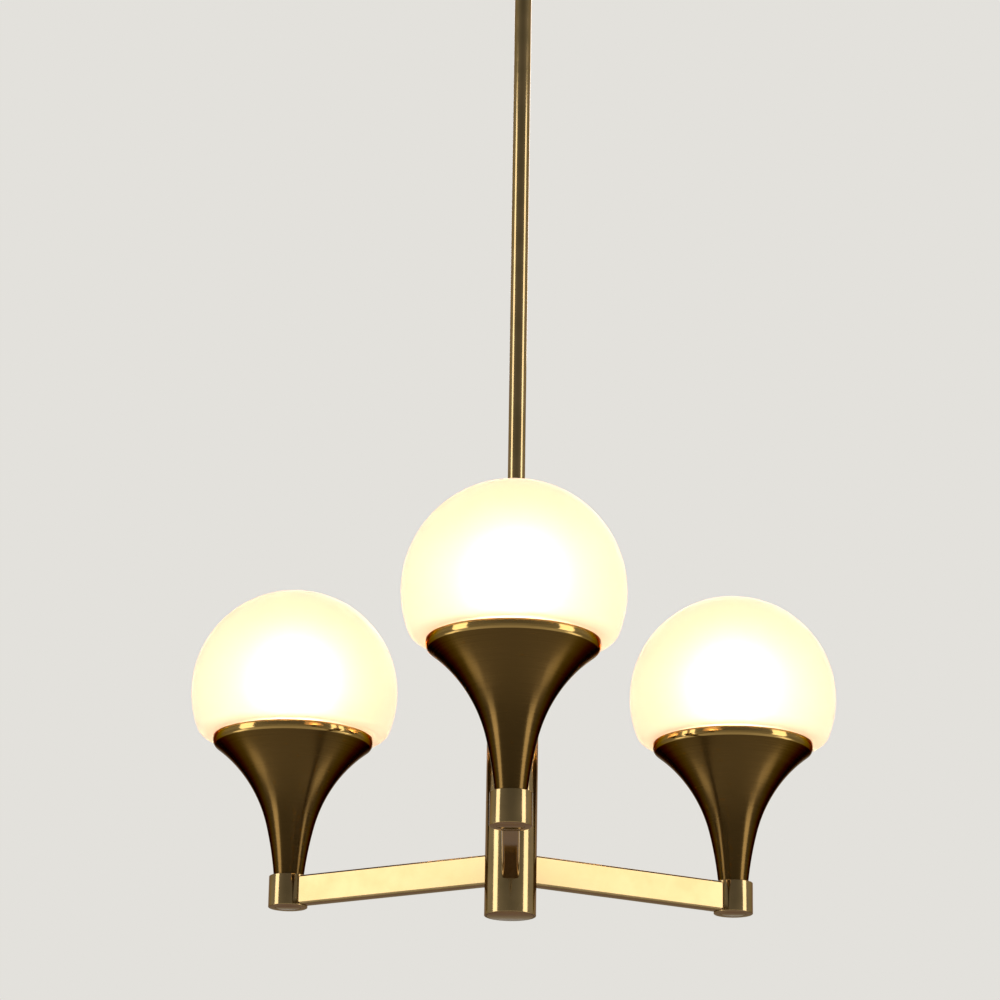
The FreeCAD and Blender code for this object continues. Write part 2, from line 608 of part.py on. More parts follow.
CAP_RADIUS = f"({HUB_BORE} + hub_cap_step)"
hub = turned_piece("hub_tube", [
    (HUB_BORE, f"{HUB_LOW} + hub_cap_height"),
    (CAP_RADIUS, f"{HUB_LOW} + hub_cap_height"),
    (CAP_RADIUS, HUB_LOW),
    ("hub_radius", HUB_LOW),
    ("hub_radius", HUB_TOP),
    (CAP_RADIUS, HUB_TOP),
    (CAP_RADIUS, CAP_UNDER),
    (HUB_BORE, CAP_UNDER),
])
slot = new_sketch(hub, "arm_slot", "YZ_Plane")
SLOT_HALF = "(arm_width / 2 + slot_gap)"
SLOT_BEND = "(arm_corner + slot_gap)"
SLOT_LOW = f"({ARM_LOW} - slot_gap)"
SLOT_TOP = f"({ARM_TOP} + slot_gap)"
slot_corners = [
    (f"-{SLOT_HALF} + {SLOT_BEND}", SLOT_LOW),
    (f"{SLOT_HALF} - {SLOT_BEND}", SLOT_LOW),
    (SLOT_HALF, f"{SLOT_LOW} + {SLOT_BEND}"),
    (SLOT_HALF, f"{SLOT_TOP} - {SLOT_BEND}"),
    (f"{SLOT_HALF} - {SLOT_BEND}", SLOT_TOP),
    (f"-{SLOT_HALF} + {SLOT_BEND}", SLOT_TOP),
    (f"-{SLOT_HALF}", f"{SLOT_TOP} - {SLOT_BEND}"),
    (f"-{SLOT_HALF}", f"{SLOT_LOW} + {SLOT_BEND}"),
]
slot_bends = {edge: (SLOT_BEND, -1) for edge in (1, 3, 5, 7)}
outline(slot, slot_corners, slot_bends)
slot_cut = pocket(hub, "arm_slot_cut", slot, "hub_radius + 1", reverse=True)
hub.Placement = FreeCAD.Placement(hub.Placement.Base, FreeCAD.Rotation(FreeCAD.Vector(0, 0, 1), -90))
pattern(hub, "arm_slots", slot_cut, 3)
pieces.append(hub)

pieces.append(turned_piece("hub_top_cap", ring_points(
    THREAD_BORE, f"{CAP_RADIUS} - running_fit", CAP_UNDER, HUB_TOP)))
pieces.append(turned_piece("hub_bottom_cap", ring_points(
    "0", f"{CAP_RADIUS} - running_fit", HUB_LOW, f"{HUB_LOW} + hub_cap_height")))

core = new_body("hub_core", z=ARM_LOW, turn=-90.0)
core_plan = new_sketch(core, "core_plan", "XY_Plane")
circle(core_plan, f"{HUB_BORE} - core_gap")
circle(core_plan, "core_bore")
pad(core, "core_pad", core_plan, "arm_height")
core_flat = new_sketch(core, "core_flat_side", "XY_Plane")
rectangle(core_flat, "core_flat", "hub_radius", "-hub_radius", "hub_radius")
flat_cut = pocket(core, "core_flat_cut", core_flat, "arm_height", reverse=True)
pattern(core, "core_flats", flat_cut, 3)
wire_way = new_sketch(core, "core_wire_hole", "YZ_Plane")
circle(wire_way, "wire_hole", "0", "flex_level - boss_lip")
wire_cut = pocket(core, "core_wire_cut", wire_way, "hub_radius", reverse=True)
pattern(core, "core_wire_holes", wire_cut, 3)
pieces.append(core)

splice = new_body("splice_block", z=ARM_TOP, turn=-90.0)
splice_plan = new_sketch(splice, "splice_plan", "XY_Plane")
circle(splice_plan, "splice_radius")
pad(splice, "splice_pad", splice_plan, "splice_height")
supply_hole = new_sketch(splice, "supply_hole", "XY_Plane", "splice_height")
circle(supply_hole, "stem_flex_radius + 0.3")
pocket(splice, "supply_hole_cut", supply_hole, "splice_depth")
arm_hole = new_sketch(splice, "arm_hole", "XY_Plane")
circle(arm_hole, "flex_radius + 0.3", "hub_flex_ring")
arm_hole_cut = pocket(splice, "arm_hole_cut", arm_hole, "splice_depth", reverse=True)
pattern(splice, "arm_holes", arm_hole_cut, 3)
pieces.append(splice)

pieces.append(turned_piece("stem_flex", [
    ("0", f"{ARM_TOP} + splice_height - splice_depth + 0.4"),
    ("stem_flex_radius", f"{ARM_TOP} + splice_height - splice_depth + 0.4"),
    ("stem_flex_radius", f"{BALL_CENTRE} + ball_top - 0.5"),
    ("0", f"{BALL_CENTRE} + ball_top - 0.5"),
]))

# ---------------------------------------------------------------------------------------------
# The three lights
# ---------------------------------------------------------------------------------------------
nuts = [hex_nut("hub_nut", z=f"{CAP_UNDER} - nut_height")]
plugs = []
gaskets = []
contacts = []

for number, angle in enumerate((-90.0, 30.0, 150.0), start=1):
    at_x = f"arm_reach * cos({angle})"
    at_y = f"arm_reach * sin({angle})"
    here = {"x": at_x, "y": at_y}

    # Rectangular arm between the hub core and the boss.
    arm = new_body(f"arm_{number}", turn=angle, z=ARM_MID)
    tube = new_sketch(arm, f"arm_{number}_section", "YZ_Plane", "core_flat")
    for inset in ("0", "arm_wall"):
        wide = f"(arm_width / 2 - {inset})"
        high = f"(arm_height / 2 - {inset})"
        bend = f"(arm_corner - {inset})"
        corners = [
            (f"-{wide} + {bend}", f"-{high}"),
            (f"{wide} - {bend}", f"-{high}"),
            (wide, f"-{high} + {bend}"),
            (wide, f"{high} - {bend}"),
            (f"{wide} - {bend}", high),
            (f"-{wide} + {bend}", high),
            (f"-{wide}", f"{high} - {bend}"),
            (f"-{wide}", f"-{high} + {bend}"),
        ]
        if inset == "0":
            outline(tube, corners, {edge: (bend, -1) for edge in (1, 3, 5, 7)})
            pad(arm, f"arm_{number}_bar", tube, f"{ARM_END} - core_flat")
        else:
            hollow = new_sketch(arm, f"arm_{number}_hollow", "YZ_Plane", "core_flat")
            outline(hollow, corners, {edge: (bend, -1) for edge in (1, 3, 5, 7)})
            pocket(arm, f"arm_{number}_bore", hollow, f"{ARM_END} - core_flat", reverse=True)
    pieces.append(arm)

    # Round boss: turned, with an arm pocket, a wiring chamber and a threaded crown.
    boss = turned_piece(f"boss_{number}", [
        ("boss_chamber", "plug_height"),
        ("plug_radius", "plug_height"),
        ("plug_radius", "0"),
        ("boss_radius - boss_edge", "0"),
        ("boss_radius", "boss_edge"),
        ("boss_radius", f"{BOSS_HEIGHT} - boss_edge"),
        ("boss_radius - boss_edge", BOSS_HEIGHT),
        (THREAD_BORE, BOSS_HEIGHT),
        (THREAD_BORE, CHAMBER_TOP),
        ("boss_chamber", CHAMBER_TOP),
    ], z=BOSS_LOW, turn=angle, **here)
    arm_seat = new_sketch(boss, f"boss_{number}_pocket", "YZ_Plane", "-boss_chamber - boss_pocket_wall")
    lowest = "(boss_lip - slot_gap)"
    highest = f"({BOSS_HEIGHT} - boss_lip + slot_gap)"
    outline(arm_seat, [
        (f"-{SLOT_HALF} + {SLOT_BEND}", lowest),
        (f"{SLOT_HALF} - {SLOT_BEND}", lowest),
        (SLOT_HALF, f"{lowest} + {SLOT_BEND}"),
        (SLOT_HALF, f"{highest} - {SLOT_BEND}"),
        (f"{SLOT_HALF} - {SLOT_BEND}", highest),
        (f"-{SLOT_HALF} + {SLOT_BEND}", highest),
        (f"-{SLOT_HALF}", f"{highest} - {SLOT_BEND}"),
        (f"-{SLOT_HALF}", f"{lowest} + {SLOT_BEND}"),
    ], slot_bends)
    pocket(boss, f"boss_{number}_pocket_cut", arm_seat, "boss_radius")
    boss_hole = new_sketch(boss, f"boss_{number}_wire_hole", "YZ_Plane")
    circle(boss_hole, "wire_hole", "0", "flex_level")
    pocket(boss, f"boss_{number}_wire_cut", boss_hole, "boss_radius + 1")
    pieces.append(boss)

    plugs.append(turned_piece(f"boss_plug_{number}", ring_points(
        "0", "plug_radius - running_fit", "0", "plug_height"), z=BOSS_LOW, **here))

    # Threaded tube that ties boss, trumpet and lampholder together.
    pieces.append(turned_piece(f"neck_nipple_{number}", ring_points(
        "nipple_bore", "nipple_radius",
        f"{CHAMBER_TOP} - nut_height - nipple_proud - {BOSS_HEIGHT}",
        "holder_level + holder_entry"), z=BOSS_TOP, **here))
    nuts.append(hex_nut(f"boss_nut_{number}", at_x, at_y, f"{BOSS_LOW} + {CHAMBER_TOP} - nut_height", angle))
    nuts.append(hex_nut(f"foot_nut_{number}", at_x, at_y, f"{BOSS_TOP} + trumpet_base", angle))
    nuts.append(hex_nut(f"holder_nut_{number}", at_x, at_y, f"{BOSS_TOP} + holder_level - nut_height", angle))

    # Spun trumpet: foot, two flare curves, rounded corner, upright rim and the inner ledge.
    inner_low = "(flare_low_bend + trumpet_wall)"
    inner_high = "(flare_high_bend + trumpet_wall)"
    pieces.append(turned_piece(f"trumpet_{number}", [
        (THREAD_BORE, "0"),
        ("trumpet_foot", "0"),
        (MID_R, MID_Z),
        (FLARE_R, FLARE_Z),
        (RIM_R, RIM_CORNER_Z),
        (RIM_R, RIM_Z),
        (RIM_BORE, RIM_Z),
        (RIM_BORE, LEDGE_Z),
        (LEDGE_R, LEDGE_Z),
        (LEDGE_R, f"{HIGH_CENTRE_Z} + sqrt({inner_high} ^ 2 - ({HIGH_CENTRE_R} - {LEDGE_R}) ^ 2)"),
        (f"{LOW_CENTRE_R} - {inner_low} * cos(flare_mid)", f"{LOW_CENTRE_Z} + {inner_low} * sin(flare_mid)"),
        (f"{LOW_CENTRE_R} - sqrt({inner_low} ^ 2 - (trumpet_base - {LOW_CENTRE_Z}) ^ 2)", "trumpet_base"),
        (THREAD_BORE, "trumpet_base"),
    ], {
        1: ("flare_low_bend", 1),
        2: ("flare_high_bend", 1),
        3: ("rim_corner", -1),
        9: (inner_high, -1),
        10: (inner_low, -1),
    }, z=BOSS_TOP, **here))

    gaskets.append(turned_piece(f"gasket_{number}", ring_points(
        f"{LEDGE_R} + gasket_gap", f"{RIM_BORE} - gasket_gap", LEDGE_Z, f"{LEDGE_Z} + gasket_height"),
        z=BOSS_TOP, **here))

    # Lampholder with its metal sleeve and centre contact.
    top = "(holder_level + holder_height)"
    sleeve_outer = "(sleeve_bore + sleeve_wall)"
    pieces.append(turned_piece(f"lampholder_{number}", [
        ("0", "holder_level + holder_entry"),
        (THREAD_BORE, "holder_level + holder_entry"),
        (THREAD_BORE, "holder_level"),
        ("holder_radius - 3", "holder_level"),
        ("holder_radius", "holder_level + 3"),
        ("holder_radius", f"{top} - 1"),
        ("holder_radius - 1", top),
        (f"{sleeve_outer} + running_fit + 0.6", top),
        (f"{sleeve_outer} + running_fit", f"{top} - 0.6"),
        (f"{sleeve_outer} + running_fit", HOLDER_FLOOR),
        ("0", HOLDER_FLOOR),
    ], z=BOSS_TOP, **here))
    pieces.append(turned_piece(f"lamp_sleeve_{number}", ring_points(
        "sleeve_bore", sleeve_outer, HOLDER_FLOOR, f"{HOLDER_FLOOR} + sleeve_height"), z=BOSS_TOP, **here))
    contacts.append(turned_piece(f"lamp_contact_{number}", ring_points(
        "0", "contact_radius", HOLDER_FLOOR, f"{HOLDER_FLOOR} + contact_height"), z=BOSS_TOP, **here))

    # Flex from the connector block, along the arm and up the threaded tube.
    pieces.append(flex(f"arm_flex_{number}", "flex_radius", [
        ("hub_flex_ring", f"{BOSS_HEIGHT} - boss_lip + splice_depth - 0.4"),
        ("hub_flex_ring", "flex_level + flex_bend"),
        ("hub_flex_ring + flex_bend", "flex_level"),
        ("arm_reach - flex_bend", "flex_level"),
        ("arm_reach", "flex_level + flex_bend"),
        ("arm_reach", f"{BOSS_HEIGHT} + holder_level + holder_entry - 0.3"),
    ], {1: ("flex_bend", -1), 3: ("flex_bend", -1)},
        "hub_flex_ring", f"{BOSS_HEIGHT} - boss_lip + splice_depth - 0.4", turn=angle, z=BOSS_LOW))

    # Opal globe: sphere, tight shoulder, neck that drops into the rim.
    shoulder_in = "(shoulder_bend - globe_wall)"
    sphere_in = "(globe_radius - globe_wall)"
    neck_in = f"({NECK_R} - globe_wall)"
    reach = f"(globe_radius / {SHOULDER_ARM})"
    reach_in = f"({sphere_in} / {SHOULDER_ARM})"
    bevel_in = "(neck_bevel - globe_wall * (sqrt(2) - 1))"
    pieces.append(turned_piece(f"globe_{number}", [
        ("0", "globe_radius"),
        ("globe_radius", "0"),
        (f"{SHOULDER_R} * {reach}", f"{SHOULDER_Z} * {reach}"),
        (SHOULDER_R, "-shoulder_drop"),
        (f"{NECK_R} + neck_bevel", "-shoulder_drop"),
        (NECK_R, "-shoulder_drop - neck_bevel"),
        (NECK_R, NECK_LOW),
        (neck_in, NECK_LOW),
        (neck_in, f"-shoulder_drop - {bevel_in}"),
        (f"{NECK_R} + {bevel_in}", "-shoulder_drop + globe_wall"),
        (SHOULDER_R, "-shoulder_drop + globe_wall"),
        (f"{SHOULDER_R} * {reach_in}", f"{SHOULDER_Z} * {reach_in}"),
        (sphere_in, "0"),
        ("0", sphere_in),
    ], {
        0: ("globe_radius", 1),
        1: ("globe_radius", 1),
        2: ("shoulder_bend", 1),
        10: (shoulder_in, -1),
        11: (sphere_in, -1),
        12: (sphere_in, -1),
    }, z=f"{BOSS_TOP} + {GLOBE_CENTRE}", **here))

    # Bulb: metal cap with its contact, and the ball with its neck.
    pieces.append(turned_piece(f"bulb_cap_{number}", [
        ("0", "0"),
        ("2.4", "0"),
        ("3.2", "1.4"),
        ("cap_radius - 1.4", "3.4"),
        ("cap_radius", "4.6"),
        ("cap_radius", "cap_height"),
        ("0", "cap_height"),
    ], z=f"{BOSS_TOP} + {BULB_LOW}", **here))
    ball = "(bulb_length - bulb_radius)"
    waist_r = "(bulb_radius * sin(38))"
    waist_z = f"({ball} - bulb_radius * cos(38))"
    pieces.append(turned_piece(f"bulb_glass_{number}", [
        ("0", "cap_height"),
        ("bulb_neck", "cap_height"),
        (waist_r, waist_z),
        ("bulb_radius", ball),
        ("0", "bulb_length"),
    ], {2: ("bulb_radius", -1), 3: ("bulb_radius", -1)}, z=f"{BOSS_TOP} + {BULB_LOW}", **here))

pieces.append(group("m10_nuts", nuts))
pieces.append(group("boss_plugs", plugs))
pieces.append(group("glass_gaskets", gaskets))
pieces.append(group("lamp_contacts", contacts))

# ---------------------------------------------------------------------------------------------
# Check and write
# ---------------------------------------------------------------------------------------------
doc.recompute()
for item in doc.Objects:
    if "Invalid" in item.State or "Error" in item.State:
        raise RuntimeError(f"{item.Name} failed: {item.State}")
for piece in pieces:
    if piece.Shape.isNull() or not piece.Shape.isValid() or piece.Shape.Volume <= 0:
        raise RuntimeError(f"{piece.Label} has no valid shape")

os.makedirs("parts", exist_ok=True)
for piece in pieces:
    piece.Shape.exportStep(f"parts/{piece.Label}.step")
    print(f"{piece.Label:22s} solids {len(piece.Shape.Solids)}  volume {piece.Shape.Volume:12.1f}")
print(len(pieces), "pieces written")
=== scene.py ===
# %% [markdown]
# # A three-arm pendant chandelier
# The chandelier hangs from a ceiling canopy on a thin rod. A tubular hub carries three flat arms,
# each arm ends in a round boss, and on each boss stands a spun trumpet cup with an opal glass
# globe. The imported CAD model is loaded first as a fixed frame, and everything made here takes its
# place and size from it.

# %% Load the frame
import json
import math

import bmesh
import bpy
from mathutils import Matrix, Vector

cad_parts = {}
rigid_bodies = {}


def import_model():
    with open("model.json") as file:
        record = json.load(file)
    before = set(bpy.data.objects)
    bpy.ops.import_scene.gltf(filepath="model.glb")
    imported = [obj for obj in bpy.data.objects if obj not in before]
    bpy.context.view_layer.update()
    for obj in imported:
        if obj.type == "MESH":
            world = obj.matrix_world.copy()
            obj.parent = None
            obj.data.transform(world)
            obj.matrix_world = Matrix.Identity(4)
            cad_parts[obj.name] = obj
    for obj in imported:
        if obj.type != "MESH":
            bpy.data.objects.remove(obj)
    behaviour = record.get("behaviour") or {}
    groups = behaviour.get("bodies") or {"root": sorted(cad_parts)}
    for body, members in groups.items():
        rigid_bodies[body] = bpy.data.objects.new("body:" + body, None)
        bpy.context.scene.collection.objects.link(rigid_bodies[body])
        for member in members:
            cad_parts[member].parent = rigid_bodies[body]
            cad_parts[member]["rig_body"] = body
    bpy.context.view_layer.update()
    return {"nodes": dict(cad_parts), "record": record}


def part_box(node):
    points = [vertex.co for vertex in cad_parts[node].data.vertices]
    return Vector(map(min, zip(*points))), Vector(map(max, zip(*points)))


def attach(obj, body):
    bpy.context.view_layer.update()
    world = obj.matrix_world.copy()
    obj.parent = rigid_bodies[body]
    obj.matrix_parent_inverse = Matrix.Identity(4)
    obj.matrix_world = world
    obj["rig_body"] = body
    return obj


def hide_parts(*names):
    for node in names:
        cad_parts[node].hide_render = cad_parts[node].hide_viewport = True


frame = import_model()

# %% [markdown]
# ## Camera
# A pendant is usually looked up at from across the room. A long lens keeps the three globes close
# to round and the rod nearly upright. The camera is placed from the hub's axis and the underside
# of the bosses, so it stays with the object.

# %% Camera
MM = 0.001
BOSS_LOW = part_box("boss_1")[0].z
CAMERA_BACK = 2683.4 * MM
CAMERA_DOWN = 557.7 * MM
CAMERA_LEFT = 11.5 * MM
CAMERA_RISE = math.radians(17.337)
CAMERA_ROLL = math.radians(0.9)
CAMERA_ROUND = math.radians(0.387)
LENS, SENSOR = 141.2, 36.0
FARTHEST = 60.0

camera_data = bpy.data.cameras.new("Camera")
camera = bpy.data.objects.new("Camera", camera_data)
bpy.context.scene.collection.objects.link(camera)
bpy.context.scene.camera = camera
camera_data.lens = LENS
camera_data.sensor_width = SENSOR
camera_data.clip_end = FARTHEST

ahead = Vector((0, math.cos(CAMERA_RISE), math.sin(CAMERA_RISE)))
side = Vector((1, 0, 0))
over = side.cross(ahead)
right = side * math.cos(CAMERA_ROLL) + over * math.sin(CAMERA_ROLL)
up = right.cross(ahead)
turn = Matrix((right, up, -ahead)).transposed()
spot = Vector((-CAMERA_LEFT, -CAMERA_BACK, BOSS_LOW - CAMERA_DOWN))
camera.matrix_world = (Matrix.Rotation(CAMERA_ROUND, 4, "Z") @ Matrix.Translation(spot)
                       @ turn.to_4x4())
print("camera at", tuple(round(v, 3) for v in camera.matrix_world.translation))

# %% [markdown]
# ## Colour and node helpers
# Colours are given as sRGB hex codes, as on a paint card, and one function turns them into the
# linear light that the renderer adds up. Shader and geometry trees are built with one small
# function that adds a node, sets it and links it in a single line.

# %% Colour and node helpers


def hex_colour(code):
    """Linear colour, with alpha, from an sRGB hex code."""
    parts = [int(code[i:i + 2], 16) / 255 for i in (1, 3, 5)]
    linear = [p / 12.92 if p <= 0.04045 else ((p + 0.055) / 1.055) ** 2.4 for p in parts]
    return (*linear, 1.0)


def add_node(tree, kind, settings=None, **links):
    """Add a node, set its properties, and fill or link its inputs.

    An input is named by its label with underscores, or by _0, _1 and so on for its number.
    """
    node = tree.nodes.new(kind)
    for name, what in (settings or {}).items():
        setattr(node, name, what)
    for name, what in links.items():
        numbered = name[0] == "_" and name[1:].isdigit()
        socket = node.inputs[int(name[1:]) if numbered else name.replace("_", " ")]
        if isinstance(what, bpy.types.NodeSocket):
            tree.links.new(what, socket)
        else:
            socket.default_value = what
    return node


def set_ramp(node, stops):
    """Give a colour ramp its stops: (place, colour)."""
    ramp = node.color_ramp
    while len(ramp.elements) > 1:
        ramp.elements.remove(ramp.elements[-1])
    for number, (place, colour) in enumerate(stops):
        element = ramp.elements[0] if number == 0 else ramp.elements.new(place)
        element.position = place
        element.color = colour
    return node


print("mid grey is", round(hex_colour("#808080")[0], 3), "in linear light")

# %% [markdown]
# ## Surround
# The chandelier hangs in a plain pale room. Polished metal shows whatever is round it, so one
# surround serves every kind of ray: pale on the side that the viewer looks at, greyer behind and
# above the viewer. That greyer side gives each tube its darker core. A dot product says how far
# a direction is from the middle of the shaded side, and a ramp turns that into three tones.

# %% Surround
scene = bpy.context.scene
scene.view_settings.view_transform = "Standard"

PALE = hex_colour("#e3e1dc")
GREYER = hex_colour("#b2b0ab")
SHADE = hex_colour("#979591")
SHADE_RISE = math.radians(25)
world = bpy.data.worlds.new("studio_surround")
scene.world = world
world.use_nodes = True
sky = world.node_tree
sky.nodes.clear()
direction = add_node(sky, "ShaderNodeTexCoord")
facing = add_node(sky, "ShaderNodeVectorMath", {"operation": "DOT_PRODUCT"},
                  _0=direction.outputs["Generated"],
                  _1=(0.0, -math.cos(SHADE_RISE), math.sin(SHADE_RISE)))
# 0 in the middle of the shaded side, 1 straight opposite
away = add_node(sky, "ShaderNodeMath", {"operation": "MULTIPLY_ADD"},
                _0=facing.outputs["Value"], _1=-0.5, _2=0.5)
studio = set_ramp(add_node(sky, "ShaderNodeValToRGB", Fac=away.outputs[0]), [
    (0.012, SHADE),
    (0.13, GREYER),
    (0.60, PALE),
])
surround = add_node(sky, "ShaderNodeBackground", Color=studio.outputs["Color"], Strength=1.0)
add_node(sky, "ShaderNodeOutputWorld", Surface=surround.outputs["Background"])
print(world.name, "has", len(studio.color_ramp.elements), "tones")

# %% [markdown]
# ## Floor
# A plain pale floor lies far below and runs on to the horizon. It is no part of the object.

# %% Floor
FLOOR_LEVEL, FLOOR_HALF = -2.4, 60.0
floor_mesh = bpy.data.meshes.new("floor")
floor_mesh.from_pydata(
    [(-FLOOR_HALF, -FLOOR_HALF, FLOOR_LEVEL), (FLOOR_HALF, -FLOOR_HALF, FLOOR_LEVEL),
     (FLOOR_HALF, FLOOR_HALF, FLOOR_LEVEL), (-FLOOR_HALF, FLOOR_HALF, FLOOR_LEVEL)],
    [], [(0, 1, 2, 3)])
floor = bpy.data.objects.new("floor", floor_mesh)
scene.collection.objects.link(floor)
pale_floor = bpy.data.materials.new("pale_floor")
pale_floor.use_nodes = True
floor_shader = pale_floor.node_tree.nodes["Principled BSDF"]
floor_shader.inputs["Base Color"].default_value = hex_colour("#f0eee9")
floor_shader.inputs["Roughness"].default_value = 0.9
floor_mesh.materials.append(pale_floor)
print("floor", -FLOOR_LEVEL, "m below the ceiling")

# %% [markdown]
# ## Lamps
# Two tall soft lamps at the sides draw the long highlights that make round metal read as round,
# two low ones lift the flares from below, and one from behind lights the rims. They light the
# object and show in its polish, but the camera can't see them.

# %% Lamps


def soft_lamp(name, place, aim, size, watts):
    """Large rectangular lamp that points at the object and stays out of the camera's sight."""
    data = bpy.data.lights.new(name, "AREA")
    data.shape = "RECTANGLE"
    data.size, data.size_y = size
    data.energy = watts
    lamp = bpy.data.objects.new(name, data)
    scene.collection.objects.link(lamp)
    lamp.location = place
    lamp.rotation_mode = "QUATERNION"
    lamp.rotation_quaternion = (Vector(aim) - Vector(place)).to_track_quat("-Z", "Y")
    lamp.visible_camera = False


# name, place, aim, width and height, all in metres, then watts
LAMPS = [
    ("lamp_left", (-2.62, -0.95, -0.30), (0, 0, -0.45), (1.1, 3.3), 58.0),
    ("lamp_right", (2.62, -0.95, -0.30), (0, 0, -0.45), (1.1, 3.3), 58.0),
    ("lamp_low_left", (-1.9, 0.2, -2.3), (0, 0, -0.7), (1.0, 1.0), 9.0),
    ("lamp_low_right", (1.9, 0.2, -2.3), (0, 0, -0.7), (1.0, 1.0), 9.0),
    ("lamp_back", (0.4, 2.4, 0.9), (0, 0, BOSS_LOW + 90 * MM), (1.6, 0.8), 16.0),
]
for lamp in LAMPS:
    soft_lamp(*lamp)
print(len(LAMPS), "lamps,", sum(watts for *_, watts in LAMPS), "W in all")

# %% [markdown]
# ## A bare material
# Every finish here starts from the same two nodes: the principled shader, which can be metal,
# glass or plastic, and the material's output. What makes a finish its own is added to these.

# %% Bare material


def new_material(name):
    """Empty node material with a principled shader; returns material, tree and shader."""
    material = bpy.data.materials.new(name)
    material.use_nodes = True
    tree = material.node_tree
    tree.nodes.clear()
    shader = tree.nodes.new("ShaderNodeBsdfPrincipled")
    add_node(tree, "ShaderNodeOutputMaterial", Surface=shader.outputs["BSDF"])
    return material, tree, shader


print("a bare material has a principled shader and an output")

# %% [markdown]
# ## Polished brass
# Brass is a copper and zinc alloy, so its colour is in its reflections. The rod, hub, arms and
# bosses are polished and lacquered: very smooth, with faint waviness from hand polishing, under
# a clear coat. Two noise patterns make that: a broad one for colour and gloss, a fine one for
# the relief. Both read the piece's own coordinates, so they stay put when it moves.

# %% Polished brass
# Polished and lacquered brass: mirror reflections with a warm gold tint and tiny cloudy smears.
# Wiping leaves clouds about 18 mm across, and hand polishing leaves ripples about 6 mm apart.
# The specular tint keeps the gold where the metal turns away, and the coat is the lacquer.
CLOUD, RIPPLE = 18.0 * MM, 6.0 * MM
LACQUER, LACQUER_ROUGHNESS = 0.3, 0.06
polished_brass, tree, shader = new_material("polished_lacquered_brass")
place = add_node(tree, "ShaderNodeTexCoord")
clouds = add_node(tree, "ShaderNodeTexNoise", Vector=place.outputs["Object"], Scale=1 / CLOUD,
                  Detail=4.0)
tint = set_ramp(add_node(tree, "ShaderNodeValToRGB", Fac=clouds.outputs["Fac"]), [
    (0.35, hex_colour("#7c6944")),
    (0.65, hex_colour("#86714c")),
])
smear = add_node(tree, "ShaderNodeMapRange", Value=clouds.outputs["Fac"], From_Min=0.3,
                 From_Max=0.7, To_Min=0.09, To_Max=0.16)
waves = add_node(tree, "ShaderNodeTexNoise", Vector=place.outputs["Object"], Scale=1 / RIPPLE,
                 Detail=2.0)
ripple = add_node(tree, "ShaderNodeBump", Height=waves.outputs["Fac"], Strength=0.03,
                  Distance=0.2 * MM)
tree.links.new(tint.outputs["Color"], shader.inputs["Base Color"])
tree.links.new(smear.outputs["Result"], shader.inputs["Roughness"])
tree.links.new(ripple.outputs["Normal"], shader.inputs["Normal"])
shader.inputs["Metallic"].default_value = 1.0
shader.inputs["Specular Tint"].default_value = hex_colour("#b39660")
shader.inputs["Coat Weight"].default_value = LACQUER
shader.inputs["Coat Roughness"].default_value = LACQUER_ROUGHNESS
print("made", polished_brass.name)

# %% [markdown]
# ## Spun satin brass
# The trumpets are spun on a lathe, darkened and satin brushed: fine rings run round them and
# stretch each highlight into a streak along the flare. Only their rim is polished again, so it
# glints. The rings and the rim follow the piece's own unwrapped surface, so they stay right when
# the cup moves.

# %% Spun satin brass
# Spun satin brass: rings 0.4 mm apart round the piece, darker and softer than the polished parts.
# The tangent runs round the cup, and a quarter turn lays the streaks along the flare.
RING_STEP = 0.4 * MM
PATCHES_ROUND = 3.0
STREAK, QUARTER_TURN = 0.75, 0.25
satin_brass, tree, shader = new_material("spun_satin_brass")
unwrapped = add_node(tree, "ShaderNodeUVMap", {"uv_map": "surface"})
stretch = add_node(tree, "ShaderNodeMapping", Vector=unwrapped.outputs["UV"],
                   Scale=(PATCHES_ROUND, 1 / RING_STEP, 1.0))
rings = add_node(tree, "ShaderNodeTexNoise", {"noise_dimensions": "2D"},
                 Vector=stretch.outputs["Vector"], Scale=1.0, Detail=3.0, Roughness=0.6)
tint = set_ramp(add_node(tree, "ShaderNodeValToRGB", Fac=rings.outputs["Fac"]), [
    (0.30, hex_colour("#46351a")),
    (0.70, hex_colour("#513e20")),
])
grain = add_node(tree, "ShaderNodeMapRange", Value=rings.outputs["Fac"], From_Min=0.25,
                 From_Max=0.75, To_Min=0.22, To_Max=0.28)
groove = add_node(tree, "ShaderNodeBump", Height=rings.outputs["Fac"], Strength=0.02,
                  Distance=0.1 * MM)
around = add_node(tree, "ShaderNodeTangent", {"direction_type": "UV_MAP", "uv_map": "surface"})
# Up the map is the distance along the outline. The cup's own cell sets where the rim begins.
along = add_node(tree, "ShaderNodeSeparateXYZ", Vector=unwrapped.outputs["UV"])
rim_band = add_node(tree, "ShaderNodeMapRange", Value=along.outputs["Y"])
